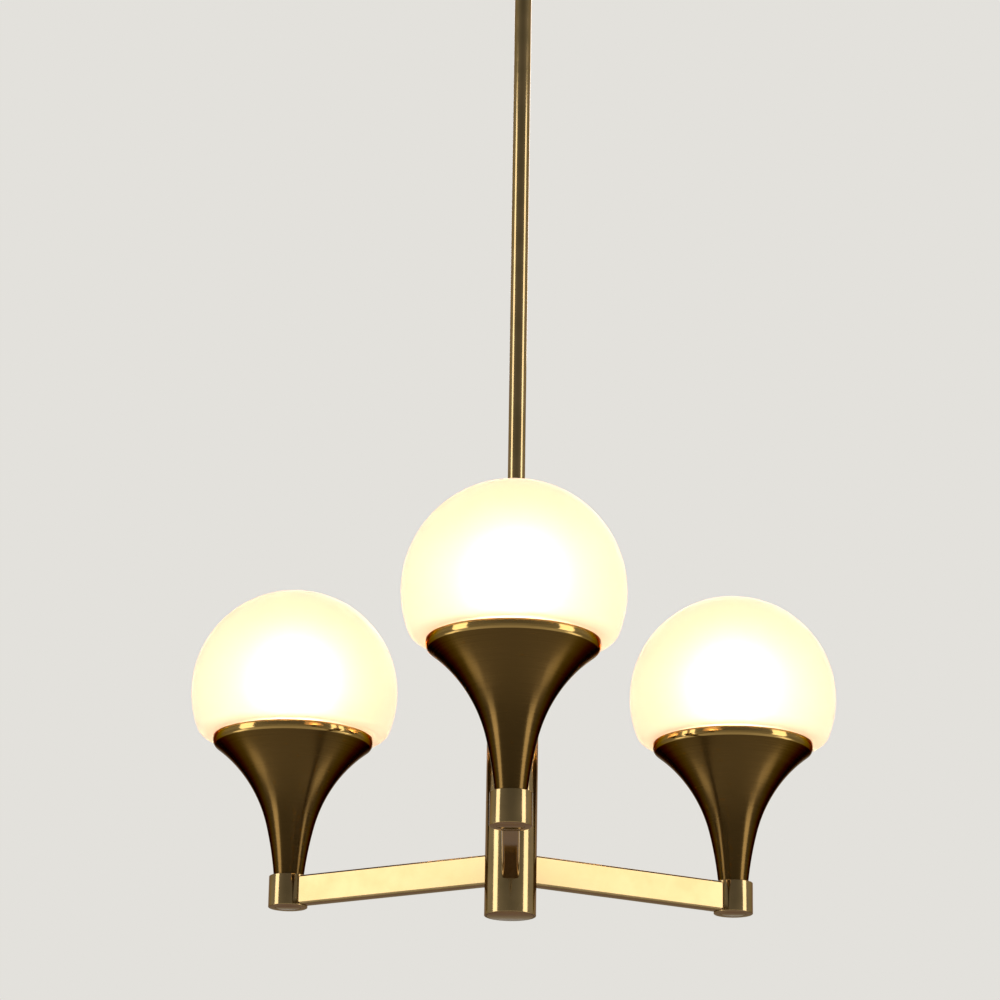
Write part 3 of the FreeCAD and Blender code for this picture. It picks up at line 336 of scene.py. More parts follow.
# inputs 6 and 7 of the mix are its two colours, and 2 and 3 its two plain values
rim_tint = add_node(tree, "ShaderNodeMix", {"data_type": "RGBA"}, _0=rim_band.outputs["Result"],
                    _6=tint.outputs["Color"], _7=hex_colour("#8a7142"))
rim_gloss = add_node(tree, "ShaderNodeMix", {"data_type": "FLOAT"}, _0=rim_band.outputs["Result"],
                     _2=grain.outputs["Result"], _3=0.13)
tree.links.new(rim_tint.outputs[2], shader.inputs["Base Color"])
tree.links.new(rim_gloss.outputs[0], shader.inputs["Roughness"])
tree.links.new(groove.outputs["Normal"], shader.inputs["Normal"])
tree.links.new(around.outputs["Tangent"], shader.inputs["Tangent"])
shader.inputs["Anisotropic"].default_value = STREAK
shader.inputs["Anisotropic Rotation"].default_value = QUARTER_TURN
shader.inputs["Metallic"].default_value = 1.0
shader.inputs["Specular Tint"].default_value = hex_colour("#8a7040")
print("made", satin_brass.name)

# %% [markdown]
# ## Opal glass
# The globes are blown opal glass with a frosted skin. It lets light through but blurs it, so the
# small bright bulb inside shows as a soft white core, and the rest of the globe glows a warm cream.
# The glass therefore gets a rough transmission, and the bulb inside really shines. On top of that
# the glass gets a faint painted glow: an emission that stands in for the bulb's light scattered in
# the opal.

# %% Opal glass
# Frosted opal glass: milky and soft edged. The etched skin is finer than a tenth of a
# millimetre; it is drawn about 1 mm coarse, so that it shows.
FROST = 1.1 * MM
opal_glass, tree, shader = new_material("frosted_opal_glass")
place = add_node(tree, "ShaderNodeTexCoord")
frost = add_node(tree, "ShaderNodeTexNoise", Vector=place.outputs["Object"], Scale=1 / FROST,
                 Detail=2.0)
haze = add_node(tree, "ShaderNodeMapRange", Value=frost.outputs["Fac"], To_Min=0.57, To_Max=0.65)
etch = add_node(tree, "ShaderNodeBump", Height=frost.outputs["Fac"], Strength=0.04,
                Distance=0.2 * MM)
shader.inputs["Base Color"].default_value = hex_colour("#ffedda")
shader.inputs["Transmission Weight"].default_value = 0.82
# painted glow: this faint cream emission stands in for the bulb's light scattered in the opal,
# since glass gives no light of its own
shader.inputs["Emission Color"].default_value = hex_colour("#ffe2c6")
shader.inputs["Emission Strength"].default_value = 0.09
tree.links.new(haze.outputs["Result"], shader.inputs["Roughness"])
tree.links.new(etch.outputs["Normal"], shader.inputs["Normal"])
print("made", opal_glass.name)

# %% [markdown]
# ## Lit bulb
# The bulb is of the kind whose upper part gives the light, over a housing that glows much less,
# so the core sits high in the globe. A map range on the height blends one into the other.

# %% Lit bulb
# Lit opal bulb: a smooth white skin, too bright to look at, in a warm white.
BULB_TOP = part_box("bulb_glass_1")[1].z
DOME_HEIGHT, DOME_BLEND = 32.0 * MM, 4.0 * MM
HOUSING_GLOW, DOME_GLOW = 6.0, 72.0
DOME_FOOT = BULB_TOP - DOME_HEIGHT
lit_bulb, tree, shader = new_material("lit_opal_bulb")
shader.inputs["Base Color"].default_value = hex_colour("#fffaf0")
shader.inputs["Roughness"].default_value = 0.35
shader.inputs["Emission Color"].default_value = hex_colour("#ffe9c6")
place = add_node(tree, "ShaderNodeTexCoord")
height = add_node(tree, "ShaderNodeSeparateXYZ", Vector=place.outputs["Object"])
glow = add_node(tree, "ShaderNodeMapRange", Value=height.outputs["Z"],
                From_Min=DOME_FOOT - DOME_BLEND, From_Max=DOME_FOOT + DOME_BLEND,
                To_Min=HOUSING_GLOW, To_Max=DOME_GLOW)
tree.links.new(glow.outputs["Result"], shader.inputs["Emission Strength"])
print("made", lit_bulb.name)

# %% [markdown]
# ## Small parts' finishes
# Steel fixings are zinc plated, bulb caps nickel plated, the lampholders are moulded black
# phenolic, the connector blocks white nylon. Each gets the fine surface that its making leaves:
# a slight mottle in colour and gloss, at the size of the plating's crystals or of the mould's
# texture. One function makes them all, because they differ only in those values.

# %% Small parts' finish


def simple_finish(name, dark, light, rough, metallic, size_mm):
    """Finish with a slight mottle of the given size, for small parts."""
    material, tree, shader = new_material(name)
    place = add_node(tree, "ShaderNodeTexCoord")
    mottle = add_node(tree, "ShaderNodeTexNoise", Vector=place.outputs["Object"],
                      Scale=1.0 / (size_mm * MM), Detail=3.0)
    tint = set_ramp(add_node(tree, "ShaderNodeValToRGB", Fac=mottle.outputs["Fac"]), [
        (0.3, hex_colour(dark)),
        (0.7, hex_colour(light)),
    ])
    gloss = add_node(tree, "ShaderNodeMapRange", Value=mottle.outputs["Fac"], To_Min=rough * 0.8,
                     To_Max=rough * 1.2)
    grain = add_node(tree, "ShaderNodeBump", Height=mottle.outputs["Fac"], Strength=0.05,
                     Distance=0.2 * MM)
    tree.links.new(tint.outputs["Color"], shader.inputs["Base Color"])
    tree.links.new(gloss.outputs["Result"], shader.inputs["Roughness"])
    tree.links.new(grain.outputs["Normal"], shader.inputs["Normal"])
    shader.inputs["Metallic"].default_value = metallic
    return material


print("one function makes the small parts' finishes")

# %% [markdown]
# ## Finish slots
# Each CAD piece names a slot for its finish, and this table gives every slot its material. All
# CAD pieces are dressed by it first, so that the table and the model agree from the start.

# %% Finish slots
FINISHES = {
    "polished_brass": polished_brass,
    "satin_brass": satin_brass,
    "opal_glass": opal_glass,
    "bulb_opal": lit_bulb,
    # turned brass, machined and left unpolished: a broad yellow gleam
    "turned_brass": simple_finish("turned_brass", "#b8954e", "#c8a560", 0.28, 1.0, 0.8),
    # zinc-plated steel: bluish grey and slightly cloudy
    "zinc_steel": simple_finish("zinc_plated_steel", "#a9adb0", "#c3c6c8", 0.32, 1.0, 2.0),
    # nickel-plated cap: a warmer, brighter silver
    "nickel_cap": simple_finish("nickel_plated_cap", "#bdbab4", "#d0cdc7", 0.22, 1.0, 1.5),
    # moulded phenolic: matt black with a fine mould texture
    "black_phenolic": simple_finish("moulded_phenolic", "#141415", "#1d1d1e", 0.55, 0.0, 0.6),
    # moulded nylon: off-white with a dull sheen
    "white_nylon": simple_finish("moulded_nylon", "#d9d8d2", "#e4e3de", 0.45, 0.0, 0.8),
    # flex in a transparent gold-coloured sheath: looks like a warm satin cord
    "clear_flex": simple_finish("gold_pvc_sheath", "#b79a5c", "#c8ad6e", 0.35, 0.0, 1.0),
    # soft silicone: pale and dull
    "gasket_rubber": simple_finish("soft_silicone", "#cbc9c1", "#d6d4cd", 0.6, 0.0, 0.7),
}
node_slot = {item["node"]: item["material_slot"] for item in frame["record"]["subparts"]}
for name, node in frame["nodes"].items():
    node.data.materials.clear()
    node.data.materials.append(FINISHES[node_slot[name]])
print(len(FINISHES), "finishes on", len(frame["nodes"]), "nodes")

# %% [markdown]
# ## Outlines
# Most shapes here start as an outline. Beside straight lines it needs only two things: arcs about
# a centre, and corners rounded to a given radius, since no real edge is perfectly sharp.

# %% Outline helpers


def rounded(points, bends, steps=5):
    """Outline with chosen corners rounded; bends maps a point's number to its radius."""
    made = []
    for number, point in enumerate(points):
        here = Vector(point)
        if number not in bends:
            made.append(tuple(here))
            continue
        back = (Vector(points[number - 1]) - here).normalized()
        on = (Vector(points[(number + 1) % len(points)]) - here).normalized()
        half = back.angle(on) / 2
        inward = (back + on).normalized()
        centre = here + inward * (bends[number] / math.sin(half))
        start = here + back * (bends[number] / math.tan(half)) - centre
        sweep = start.angle_signed(here + on * (bends[number] / math.tan(half)) - centre)
        for step in range(steps + 1):
            angle = -sweep * step / steps
            made.append(tuple(centre + Matrix.Rotation(angle, 2) @ start))
    return made


def arc(centre, radius, begin, finish, steps):
    """Points on an arc, angles in degrees anticlockwise from the outward direction."""
    angles = [math.radians(begin + (finish - begin) * step / steps) for step in range(steps + 1)]
    return [(centre[0] + radius * math.cos(a), centre[1] + radius * math.sin(a)) for a in angles]


print("a rounded corner gets", len(rounded([(0, 0), (1, 0), (1, 1)], {1: 0.2})) - 2, "points")

# %% [markdown]
# ## Finished meshes
# Every mesh is finished in the same way: doubled points are merged, faces are turned outwards,
# and it is shaded smooth except across sharp edges. Its object stays at the origin, unturned,
# and the mesh holds the place, as in the CAD model.

# %% Mesh helpers
SHARP = math.radians(32)


def new_object(name, mesh, material):
    """Object at the origin, with the one material."""
    mesh.materials.clear()
    mesh.materials.append(material)
    piece = bpy.data.objects.new(name, mesh)
    scene.collection.objects.link(piece)
    return piece


def finish_mesh(shape, mesh):
    """Close the mesh, turn its faces outwards, and shade it smooth between sharp edges."""
    bmesh.ops.remove_doubles(shape, verts=shape.verts, dist=1e-7)
    bmesh.ops.recalc_face_normals(shape, faces=shape.faces)
    for face in shape.faces:
        face.smooth = True
    for line in shape.edges:
        line.smooth = line.calc_face_angle(0.0) < SHARP
    shape.to_mesh(mesh)
    shape.free()
    return mesh


def new_piece(name, shape, material):
    """Object made of a finished shape."""
    return new_object(name, finish_mesh(shape, bpy.data.meshes.new(name)), material)


print("edges sharper than", round(math.degrees(SHARP)), "degrees stay crisp")

# %% [markdown]
# ## Lathe work
# Nearly every part of this lamp is round: spun cups, blown globes, turned bosses, drawn tubes.
# One helper turns a half outline about an upright axis, as a lathe does, and lays an unwrapped
# surface on it: across the map is the way round, up the map is the distance along the outline in
# metres. The CAD solids carry the same forms, but as flat triangles; polished metal needs these
# smooth, finely divided skins.

# %% Lathe helper


def lathe_ring(shape, radius, z, centre, segments):
    """One ring of points; on the axis all of them are the same point."""
    if radius < 1e-6:
        return [shape.verts.new((centre[0], centre[1], z))] * segments
    turns = [2 * math.pi * k / segments for k in range(segments)]
    return [shape.verts.new((centre[0] + radius * math.cos(t), centre[1] + radius * math.sin(t),
                             z)) for t in turns]


def lathe(name, outline, material, centre=(0.0, 0.0), segments=128, ring=True):
    """Turn an outline of (radius, height) points, in metres; ring outlines close on themselves."""
    shape = bmesh.new()
    layer = shape.loops.layers.uv.new("surface")
    along = [0.0]
    for a, b in zip(outline, outline[1:] + outline[:1]):
        along.append(along[-1] + math.dist(a, b))
    rows = [lathe_ring(shape, radius, z, centre, segments) for radius, z in outline]
    for row in range(len(rows) if ring else len(rows) - 1):
        low, high = rows[row], rows[(row + 1) % len(rows)]
        for k in range(segments):
            on = (k + 1) % segments
            # a face at the axis names the same point twice, so each point is kept once
            corners = {}
            for vert, across, up in ((low[k], k, row), (low[on], k + 1, row),
                                     (high[on], k + 1, row + 1), (high[k], k, row + 1)):
                corners.setdefault(vert, (across, up))
            if len(corners) < 3:
                continue
            face = shape.faces.new(list(corners))
            for loop, (across, up) in zip(face.loops, corners.values()):
                loop[layer].uv = (across / segments, along[up])
    return new_piece(name, shape, material)


print("the lathe lays its map on the layer named surface")

# %% [markdown]
# ## Places
# Pieces take their place from the boxes of the CAD pieces that they stand for. The front boss
# stands straight ahead of the hub's axis, so its distance is the reach of every arm.

# %% Places
ARMS = 3


def middle(node):
    """Middle of a CAD node's box."""
    low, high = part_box(node)
    return (low + high) / 2


def heights(node):
    """Lowest and highest level of a CAD node's box."""
    low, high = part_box(node)
    return low.z, high.z


REACH = -middle("boss_1").y
print("arm reach", round(REACH / MM, 1), "mm")

# %% [markdown]
# ## Geometry Nodes trees
# A Geometry Nodes tree is a recipe with named inputs. One helper starts a tree, and another runs
# it on an empty carrier object and keeps the result as one plain mesh, so that nothing depends
# on the tree afterwards.

# %% Geometry tree helpers


def new_geometry_tree(name, inputs):
    """Geometry tree with an output and named inputs; returns it and the inputs' identifiers."""
    tree = bpy.data.node_groups.new(name, "GeometryNodeTree")
    tree.interface.new_socket("Geometry", in_out="OUTPUT", socket_type="NodeSocketGeometry")
    sockets = {}
    for label, kind in inputs.items():
        made = tree.interface.new_socket(label, in_out="INPUT", socket_type=kind)
        sockets[label] = made.identifier
    return tree, sockets


def run_tree(name, tree, sockets, values):
    """Evaluate a geometry tree with the values given by input name; keep a plain mesh piece."""
    carrier = bpy.data.objects.new(name + "_tree", bpy.data.meshes.new(name + "_tree"))
    scene.collection.objects.link(carrier)
    modifier = carrier.modifiers.new("tree", "NODES")
    modifier.node_group = tree
    for label, what in values.items():
        modifier[sockets[label]] = what
    graph = bpy.context.evaluated_depsgraph_get()
    mesh = bpy.data.meshes.new_from_object(carrier.evaluated_get(graph))
    mesh.name = name
    carrier.modifiers.remove(modifier)
    bpy.data.objects.remove(carrier)
    return new_object(name, mesh, values["Finish"])


print("a tree's inputs are set by identifier, which a new tree gives")

# %% [markdown]
# ## Three alike round the hub
# The three lights are the same piece set out at 120 degrees, so one of each is made about the
# upright axis and Geometry Nodes sets it out: a circle of three points at the arm's reach, an
# instance on each, turned to look outwards. The copies are then made real.

# %% Geometry Nodes tree that sets a piece out round the hub


def make_round_hub_tree():
    """Tree that puts a piece on each point of a circle."""
    tree, sockets = new_geometry_tree("set_out_round_hub", {
        "Piece": "NodeSocketObject", "Reach": "NodeSocketFloat", "Count": "NodeSocketInt",
        "Finish": "NodeSocketMaterial"})
    given = add_node(tree, "NodeGroupInput")
    ends = add_node(tree, "GeometryNodeMeshCircle", Vertices=given.outputs["Count"],
                    Radius=given.outputs["Reach"])
    facing = add_node(tree, "GeometryNodeTransform", Geometry=ends.outputs["Mesh"],
                      Rotation=(0.0, 0.0, math.radians(-90)))
    where = add_node(tree, "GeometryNodeInputPosition")
    outward = add_node(tree, "FunctionNodeAlignRotationToVector", {"axis": "X"},
                       Vector=where.outputs["Position"])
    piece = add_node(tree, "GeometryNodeObjectInfo", Object=given.outputs["Piece"])
    copies = add_node(tree, "GeometryNodeInstanceOnPoints", Points=facing.outputs["Geometry"],
                      Instance=piece.outputs["Geometry"], Rotation=outward.outputs["Rotation"])
    real = add_node(tree, "GeometryNodeRealizeInstances", Geometry=copies.outputs["Instances"])
    coated = add_node(tree, "GeometryNodeSetMaterial", Geometry=real.outputs["Geometry"],
                      Material=given.outputs["Finish"])
    add_node(tree, "NodeGroupOutput", Geometry=coated.outputs["Geometry"])
    return tree, sockets


ROUND_HUB = make_round_hub_tree()


def set_out(name, piece, reach, count):
    """Replace a piece, made about the upright axis, by copies of it on a circle."""
    made = run_tree(name, *ROUND_HUB, {"Piece": piece, "Reach": reach, "Count": count,
                                       "Finish": piece.data.materials[0]})
    bpy.data.objects.remove(piece)
    return made


def three_round_hub(name, piece):
    """Set a piece out at the three arm ends."""
    return set_out(name, piece, REACH, ARMS)


print("set-out tree takes", ", ".join(ROUND_HUB[1]))

# %% [markdown]
# ## Dressing the CAD model
# Each finished piece is set on the body it rides on, and the CAD pieces that it stands for are
# hidden. One helper does both.

# %% Dress


def dress(piece, body, *nodes):
    """Ride on a body and hide the CAD nodes that the piece stands for."""
    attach(piece, body)
    if nodes:
        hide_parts(*nodes)


# %% [markdown]
# ## Trumpet outline
# Each cup is spun from one brass disc: a narrow foot, a slow flare that opens faster and faster,
# a soft corner and a short upright rim that the glass drops into. The flare is two arcs that
# share a tangent, and the inside follows the outside at the sheet's thickness, down to the small
# ledge under the glass.

# %% Trumpet outline
FOOT = 10.8 * MM
LOW_BEND, HIGH_BEND = 260.0 * MM, 105.0 * MM
# degrees off the upright at the foot, where the two bends meet, and at the corner
FOOT_SLOPE, MID_SLOPE, TOP_SLOPE = 5.7, 14.0, 53.15
RIM_CORNER, RIM_BAND, RIM_WALL = 4.6 * MM, 2.9 * MM, 1.0 * MM
RIM_EDGE = 0.35 * MM
LEDGE_DEPTH, LEDGE_WIDTH = 4.6 * MM, 3.9 * MM
SHEET, FOOT_PLATE, THREAD_HOLE = 1.0 * MM, 1.2 * MM, 5.0 * MM
LOW_STEPS, HIGH_STEPS, CORNER_STEPS = 14, 30, 10


def from_upright(centre, radius, begin, finish, steps):
    """Arc whose slopes are given off the upright, bending away from the axis."""
    return arc(centre, radius, 180 - begin, 180 - finish, steps)


def trumpet_outline(base):
    """Closed outline of the cup's wall, from its foot up the outside and down the inside."""
    first, second, last = (math.radians(s) for s in (FOOT_SLOPE, MID_SLOPE, TOP_SLOPE))
    low_centre = (FOOT + LOW_BEND * math.cos(first), base - LOW_BEND * math.sin(first))
    joint = (low_centre[0] - LOW_BEND * math.cos(second),
             low_centre[1] + LOW_BEND * math.sin(second))
    high_centre = (joint[0] + HIGH_BEND * math.cos(second),
                   joint[1] - HIGH_BEND * math.sin(second))
    outside = from_upright(low_centre, LOW_BEND, FOOT_SLOPE, MID_SLOPE, LOW_STEPS)
    outside += from_upright(high_centre, HIGH_BEND, MID_SLOPE, TOP_SLOPE, HIGH_STEPS)[1:]
    end = outside[-1]
    corner = (end[0] - RIM_CORNER * math.cos(last), end[1] + RIM_CORNER * math.sin(last))
    outside += arc(corner, RIM_CORNER, -TOP_SLOPE, 0, CORNER_STEPS)[1:]
    rim_radius, rim_top = outside[-1][0], outside[-1][1] + RIM_BAND
    bore = rim_radius - RIM_WALL
    ledge = (bore - LEDGE_WIDTH, rim_top - LEDGE_DEPTH)
    lip = rounded([(rim_radius, outside[-1][1]), (rim_radius, rim_top), (bore, rim_top),
                   (bore, ledge[1])], {1: RIM_EDGE, 2: RIM_EDGE}, 4)[1:]
    # the inside starts on the upper bend where the ledge meets it, and ends on the foot plate
    start = 180 - math.degrees(math.acos((high_centre[0] - ledge[0]) / (HIGH_BEND + SHEET)))
    inside = arc(high_centre, HIGH_BEND + SHEET, start, 180 - MID_SLOPE, HIGH_STEPS)
    rise = (base + FOOT_PLATE - low_centre[1]) / (LOW_BEND + SHEET)
    finish = 180 - math.degrees(math.asin(rise))
    inside += arc(low_centre, LOW_BEND + SHEET, 180 - MID_SLOPE, finish, LOW_STEPS)[1:]
    foot = [(THREAD_HOLE, base + FOOT_PLATE), (THREAD_HOLE, base)]
    return outside + lip + [ledge] + inside + foot, rim_top, bore, ledge


cup_outline, RIM_TOP, RIM_BORE, LEDGE = trumpet_outline(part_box("trumpet_1")[0].z)
print("cup outline has", len(cup_outline), "points")

# %% [markdown]
# ## Trumpet cups
# The outline is turned once and set out at the three arm ends. The corner and the rim are
# polished, so the finish is told here how far along the outline they begin.

# %% Trumpet cups
cups = three_round_hub("trumpet_cups",
                       lathe("cup_seed", cup_outline, satin_brass, segments=160))
dress(cups, "chandelier", "trumpet_1", "trumpet_2", "trumpet_3")

BAND_BLEND = 0.1 * MM
corner_rise = RIM_CORNER * math.sin(math.radians(TOP_SLOPE))
band_foot = next(number for number, point in enumerate(cup_outline)
                 if point[1] > RIM_TOP - RIM_BAND - corner_rise)
band_from = sum(math.dist(a, b)
                for a, b in zip(cup_outline[:band_foot], cup_outline[1:band_foot + 1]))
rim_band.inputs["From Min"].default_value = band_from - BAND_BLEND
rim_band.inputs["From Max"].default_value = band_from + BAND_BLEND

# %% [markdown]
# ## Globes
# A globe is blown as a ball, cut open below and tucked in with a tight shoulder, so that a short
# neck drops inside the cup's rim. It rides on its own body, because it lifts off when the bulb
# is changed. The wall has its real thickness, so that light passes two skins as it does in glass.

# %% Globes
GLASS, SHOULDER, NECK_BEND, NECK_EDGE = 2.5 * MM, 10.0 * MM, 1.0 * MM, 0.6 * MM
CROWN_STEPS, SHOULDER_STEPS, NECK_STEPS = 56, 12, 4
NECK_GAP, SHOULDER_GAP = 0.6 * MM, 0.7 * MM
NECK = RIM_BORE - NECK_GAP


def globe_outline(centre_z, radius, neck_low, shoulder_drop):
    """Closed outline of the glass wall, from the top of the outside to the top of the inside."""
    arm = radius - SHOULDER
    drop = shoulder_drop - SHOULDER
    tilt = math.degrees(math.asin(drop / arm))
    shoulder = (math.sqrt(arm ** 2 - drop ** 2), centre_z - drop)
    centre = (0.0, centre_z)
    outside = arc(centre, radius, 90, -tilt, CROWN_STEPS)
    outside += arc(shoulder, SHOULDER, -tilt, -90, SHOULDER_STEPS)[1:]
    neck = (NECK + NECK_BEND, centre_z - shoulder_drop - NECK_BEND)
    outside += arc(neck, NECK_BEND, 90, 180, NECK_STEPS)
    foot = rounded([(NECK, neck[1]), (NECK, neck_low), (NECK - GLASS, neck_low),
                    (NECK - GLASS, neck[1])], {1: NECK_EDGE, 2: NECK_EDGE}, 4)[1:-1]
    inside = arc(neck, NECK_BEND + GLASS, 180, 90, NECK_STEPS + 2)
    inside += arc(shoulder, SHOULDER - GLASS, -90, -tilt, SHOULDER_STEPS)
    inside += arc(centre, radius - GLASS, -tilt, 90, CROWN_STEPS)[1:]
    points = outside + foot + inside
    points[0] = (0.0, points[0][1])
    points[-1] = (0.0, points[-1][1])
    return points


for number in range(1, ARMS + 1):
    node = f"globe_{number}"
    low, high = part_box(node)
    radius = (high.x - low.x) / 2
    outline = globe_outline(high.z - radius, radius, low.z,
                            high.z - radius - RIM_TOP - SHOULDER_GAP)
    at = middle(node)
    globe = lathe(f"opal_globe_{number}", outline, opal_glass, centre=(at.x, at.y), segments=144,
                  ring=False)
    dress(globe, node, node)
print("globe radius", round(radius / MM, 1), "mm, neck", round(NECK / MM, 1), "mm")

# %% [markdown]
# ## Hub, stem and bosses
# These are drawn tubes and turned bosses in polished brass. A real edge is never perfectly
# sharp: a tiny rounding on each rim catches a thin line of light, which is what makes polished
# metal look solid. Caps and plugs stay pieces of their own, so that a fine joint line shows
# round each of them.

# %% Hub, stem and bosses
TUBE_EDGE, STEM_EDGE, BOSS_EDGE = 0.45 * MM, 0.3 * MM, 0.5 * MM
PLUG_EDGE, CAP_EDGE = 0.25 * MM, 0.2 * MM
HUB_BORE, HUB_RADIUS, HUB_CAP_RADIUS = 16.5 * MM, 18.1 * MM, 17.05 * MM
STEM_BORE, STEM_RADIUS = 5.0 * MM, 6.2 * MM
BOSS_RADIUS, BOSS_CHAMBER, BOSS_CROWN = 14.15 * MM, 8.5 * MM, 5.0 * MM
PLUG_BORE, PLUG_RADIUS, PLUG_HEIGHT = 9.25 * MM, 9.15 * MM, 3.0 * MM


def tube_outline(inner, outer, low, high, edge):
    """Plain tube with softened outer edges."""
    return rounded([(inner, low), (outer, low), (outer, high), (inner, high)],
                   {1: edge, 2: edge}, 4)


hub_low, hub_high = heights("hub_tube")
dress(lathe("hub_sleeve", tube_outline(HUB_BORE, HUB_RADIUS, hub_low, hub_high, TUBE_EDGE),
            polished_brass), "chandelier", "hub_tube")
for node, name in (("hub_bottom_cap", "hub_lower_disc"), ("hub_top_cap", "hub_upper_disc")):
    low, high = heights(node)
    disc = [(0.0, low), (HUB_CAP_RADIUS, low), (HUB_CAP_RADIUS, high), (0.0, high)]
    dress(lathe(name, rounded(disc, {1: CAP_EDGE, 2: CAP_EDGE}, 3), polished_brass, ring=False),
          "chandelier", node)

stem_low, stem_high = heights("stem_tube")
dress(lathe("stem_rod", tube_outline(STEM_BORE, STEM_RADIUS, stem_low, stem_high, STEM_EDGE),
            polished_brass, segments=96), "chandelier", "stem_tube")

boss_low, boss_high = heights("boss_1")
crown_low, plug_top = boss_high - BOSS_CROWN, boss_low + PLUG_HEIGHT
boss_points = [
    (PLUG_BORE, boss_low), (BOSS_RADIUS, boss_low), (BOSS_RADIUS, boss_high),
    (THREAD_HOLE, boss_high), (THREAD_HOLE, crown_low), (BOSS_CHAMBER, crown_low),
    (BOSS_CHAMBER, plug_top), (PLUG_BORE, plug_top),
]
boss_seed = lathe("boss_seed", rounded(boss_points, {1: BOSS_EDGE, 2: BOSS_EDGE}, 5),
                  polished_brass)
dress(three_round_hub("arm_end_bosses", boss_seed), "chandelier", "boss_1", "boss_2", "boss_3")
plug_points = [(0.0, boss_low), (PLUG_RADIUS, boss_low), (PLUG_RADIUS, plug_top), (0.0, plug_top)]
plug_seed = lathe("plug_seed", rounded(plug_points, {1: PLUG_EDGE}, 3), polished_brass,
                  segments=96, ring=False)
dress(three_round_hub("boss_lower_plugs", plug_seed), "chandelier", "boss_plugs")
print("hub", round((hub_high - hub_low) / MM, 1), "mm high, boss",
      round((boss_high - boss_low) / MM, 1), "mm")

# %% [markdown]
# ## Arms
# An arm is a length of rectangular brass tube stood on edge. Its corners are drawn round, so its
# section is a rounded rectangle, and it runs straight from the hub's core into a pocket in the
# boss. Its ends are cut square, since hub and boss hide them.

# %% Arms
arm_low, arm_high = heights("arm_1")
ARM_FROM = -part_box("arm_1")[1].y
ARM_TO = -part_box("arm_1")[0].y
ARM_WIDTH, ARM_WALL, ARM_BEND = 12.0 * MM, 1.2 * MM, 2.0 * MM


def section_ring(width, height, bend, middle_z, steps=6):
    """Points (y, z) of a rounded rectangle, anticlockwise."""
    points = []
    for quarter, (sy, sz) in enumerate(((1, 1), (-1, 1), (-1, -1), (1, -1))):
        centre = (sy * (width / 2 - bend), middle_z + sz * (height / 2 - bend))
        points += arc(centre, bend, 90 * quarter, 90 * quarter + 90, steps)
    return points


def rectangular_tube(name, begin, finish, width, height, wall, bend, middle_z, material):
    """Straight tube along X with an open, rounded rectangular section."""
    shape = bmesh.new()
    outer = section_ring(width, height, bend, middle_z)
    inner = section_ring(width - 2 * wall, height - 2 * wall, bend - wall, middle_z)
    loops = [[shape.verts.new((x, y, z)) for y, z in ring]
             for x, ring in ((begin, outer), (finish, outer), (finish, inner), (begin, inner))]
    count = len(outer)
    for first, second in zip(loops, loops[1:] + loops[:1]):
        for k in range(count):
            on = (k + 1) % count
            shape.faces.new((first[k], first[on], second[on], second[k]))
    return new_piece(name, shape, material)


arm_seed = rectangular_tube("arm_seed", ARM_FROM - REACH, ARM_TO - REACH, ARM_WIDTH,
                            arm_high - arm_low, ARM_WALL, ARM_BEND, (arm_low + arm_high) / 2,
                            polished_brass)
dress(three_round_hub("flat_arms", arm_seed), "chandelier", "arm_1", "arm_2", "arm_3")
print("arm runs from", round(ARM_FROM / MM, 1), "to", round(ARM_TO / MM, 1), "mm off the hub axis")

# %% [markdown]
# ## Threads
# Two kinds of thread can be seen: the fine M10 thread of the tubes that tie the lamp together,
# and the coarse round thread rolled into each bulb's cap. A thread is one ridge that follows a
# helix, so Geometry Nodes sweeps a small profile along a spiral. Four corners make the profile a
# V, many make it round.

# %% Geometry Nodes tree for a helical ridge
STEPS_PER_TURN = 36


def make_ridge_tree():
    """Tree that sweeps a small profile along a helix."""
    tree, sockets = new_geometry_tree("helical_ridge", {
        "Radius": "NodeSocketFloat", "Depth": "NodeSocketFloat", "Pitch": "NodeSocketFloat",
        "Turns": "NodeSocketFloat", "Corners": "NodeSocketInt", "Finish": "NodeSocketMaterial"})
    given = add_node(tree, "NodeGroupInput")
    height = add_node(tree, "ShaderNodeMath", {"operation": "MULTIPLY"},
                      _0=given.outputs["Pitch"], _1=given.outputs["Turns"])
    helix = add_node(tree, "GeometryNodeCurveSpiral", Resolution=STEPS_PER_TURN,
                     Rotations=given.outputs["Turns"], Start_Radius=given.outputs["Radius"],
                     End_Radius=given.outputs["Radius"], Height=height.outputs[0])
    profile = add_node(tree, "GeometryNodeCurvePrimitiveCircle",
                       Resolution=given.outputs["Corners"], Radius=given.outputs["Depth"])
    ridge = add_node(tree, "GeometryNodeCurveToMesh", Curve=helix.outputs["Curve"],
                     Profile_Curve=profile.outputs["Curve"], Fill_Caps=True)
    coated = add_node(tree, "GeometryNodeSetMaterial", Geometry=ridge.outputs["Mesh"],
                      Material=given.outputs["Finish"])
    add_node(tree, "NodeGroupOutput", Geometry=coated.outputs["Geometry"])
    return tree, sockets


RIDGE = make_ridge_tree()


def thread(name, radius, depth, pitch, low, high, corners, material, centre=(0.0, 0.0)):
    """Helical ridge between two heights; depth is how far it stands off its core."""
    ridge = run_tree(name, *RIDGE, {"Radius": radius, "Depth": depth, "Pitch": pitch,
                                    "Turns": (high - low) / pitch, "Corners": corners,
                                    "Finish": material})
    ridge.data.transform(Matrix.Translation((centre[0], centre[1], low)))
    shape = bmesh.new()
    shape.from_mesh(ridge.data)
    finish_mesh(shape, ridge.data)
    return ridge


print("ridge tree takes", ", ".join(RIDGE[1]))

# %% [markdown]
# ## Threaded tubes
# An M10 tube with a 1 mm thread holds boss, cup and lampholder together, another hangs the rod
# from its ball and a short one ties the canopy to the swivel. The thread is cut down to the core,
# so the ridge's tip is at the tube's full radius. Only the part that can be seen is threaded.

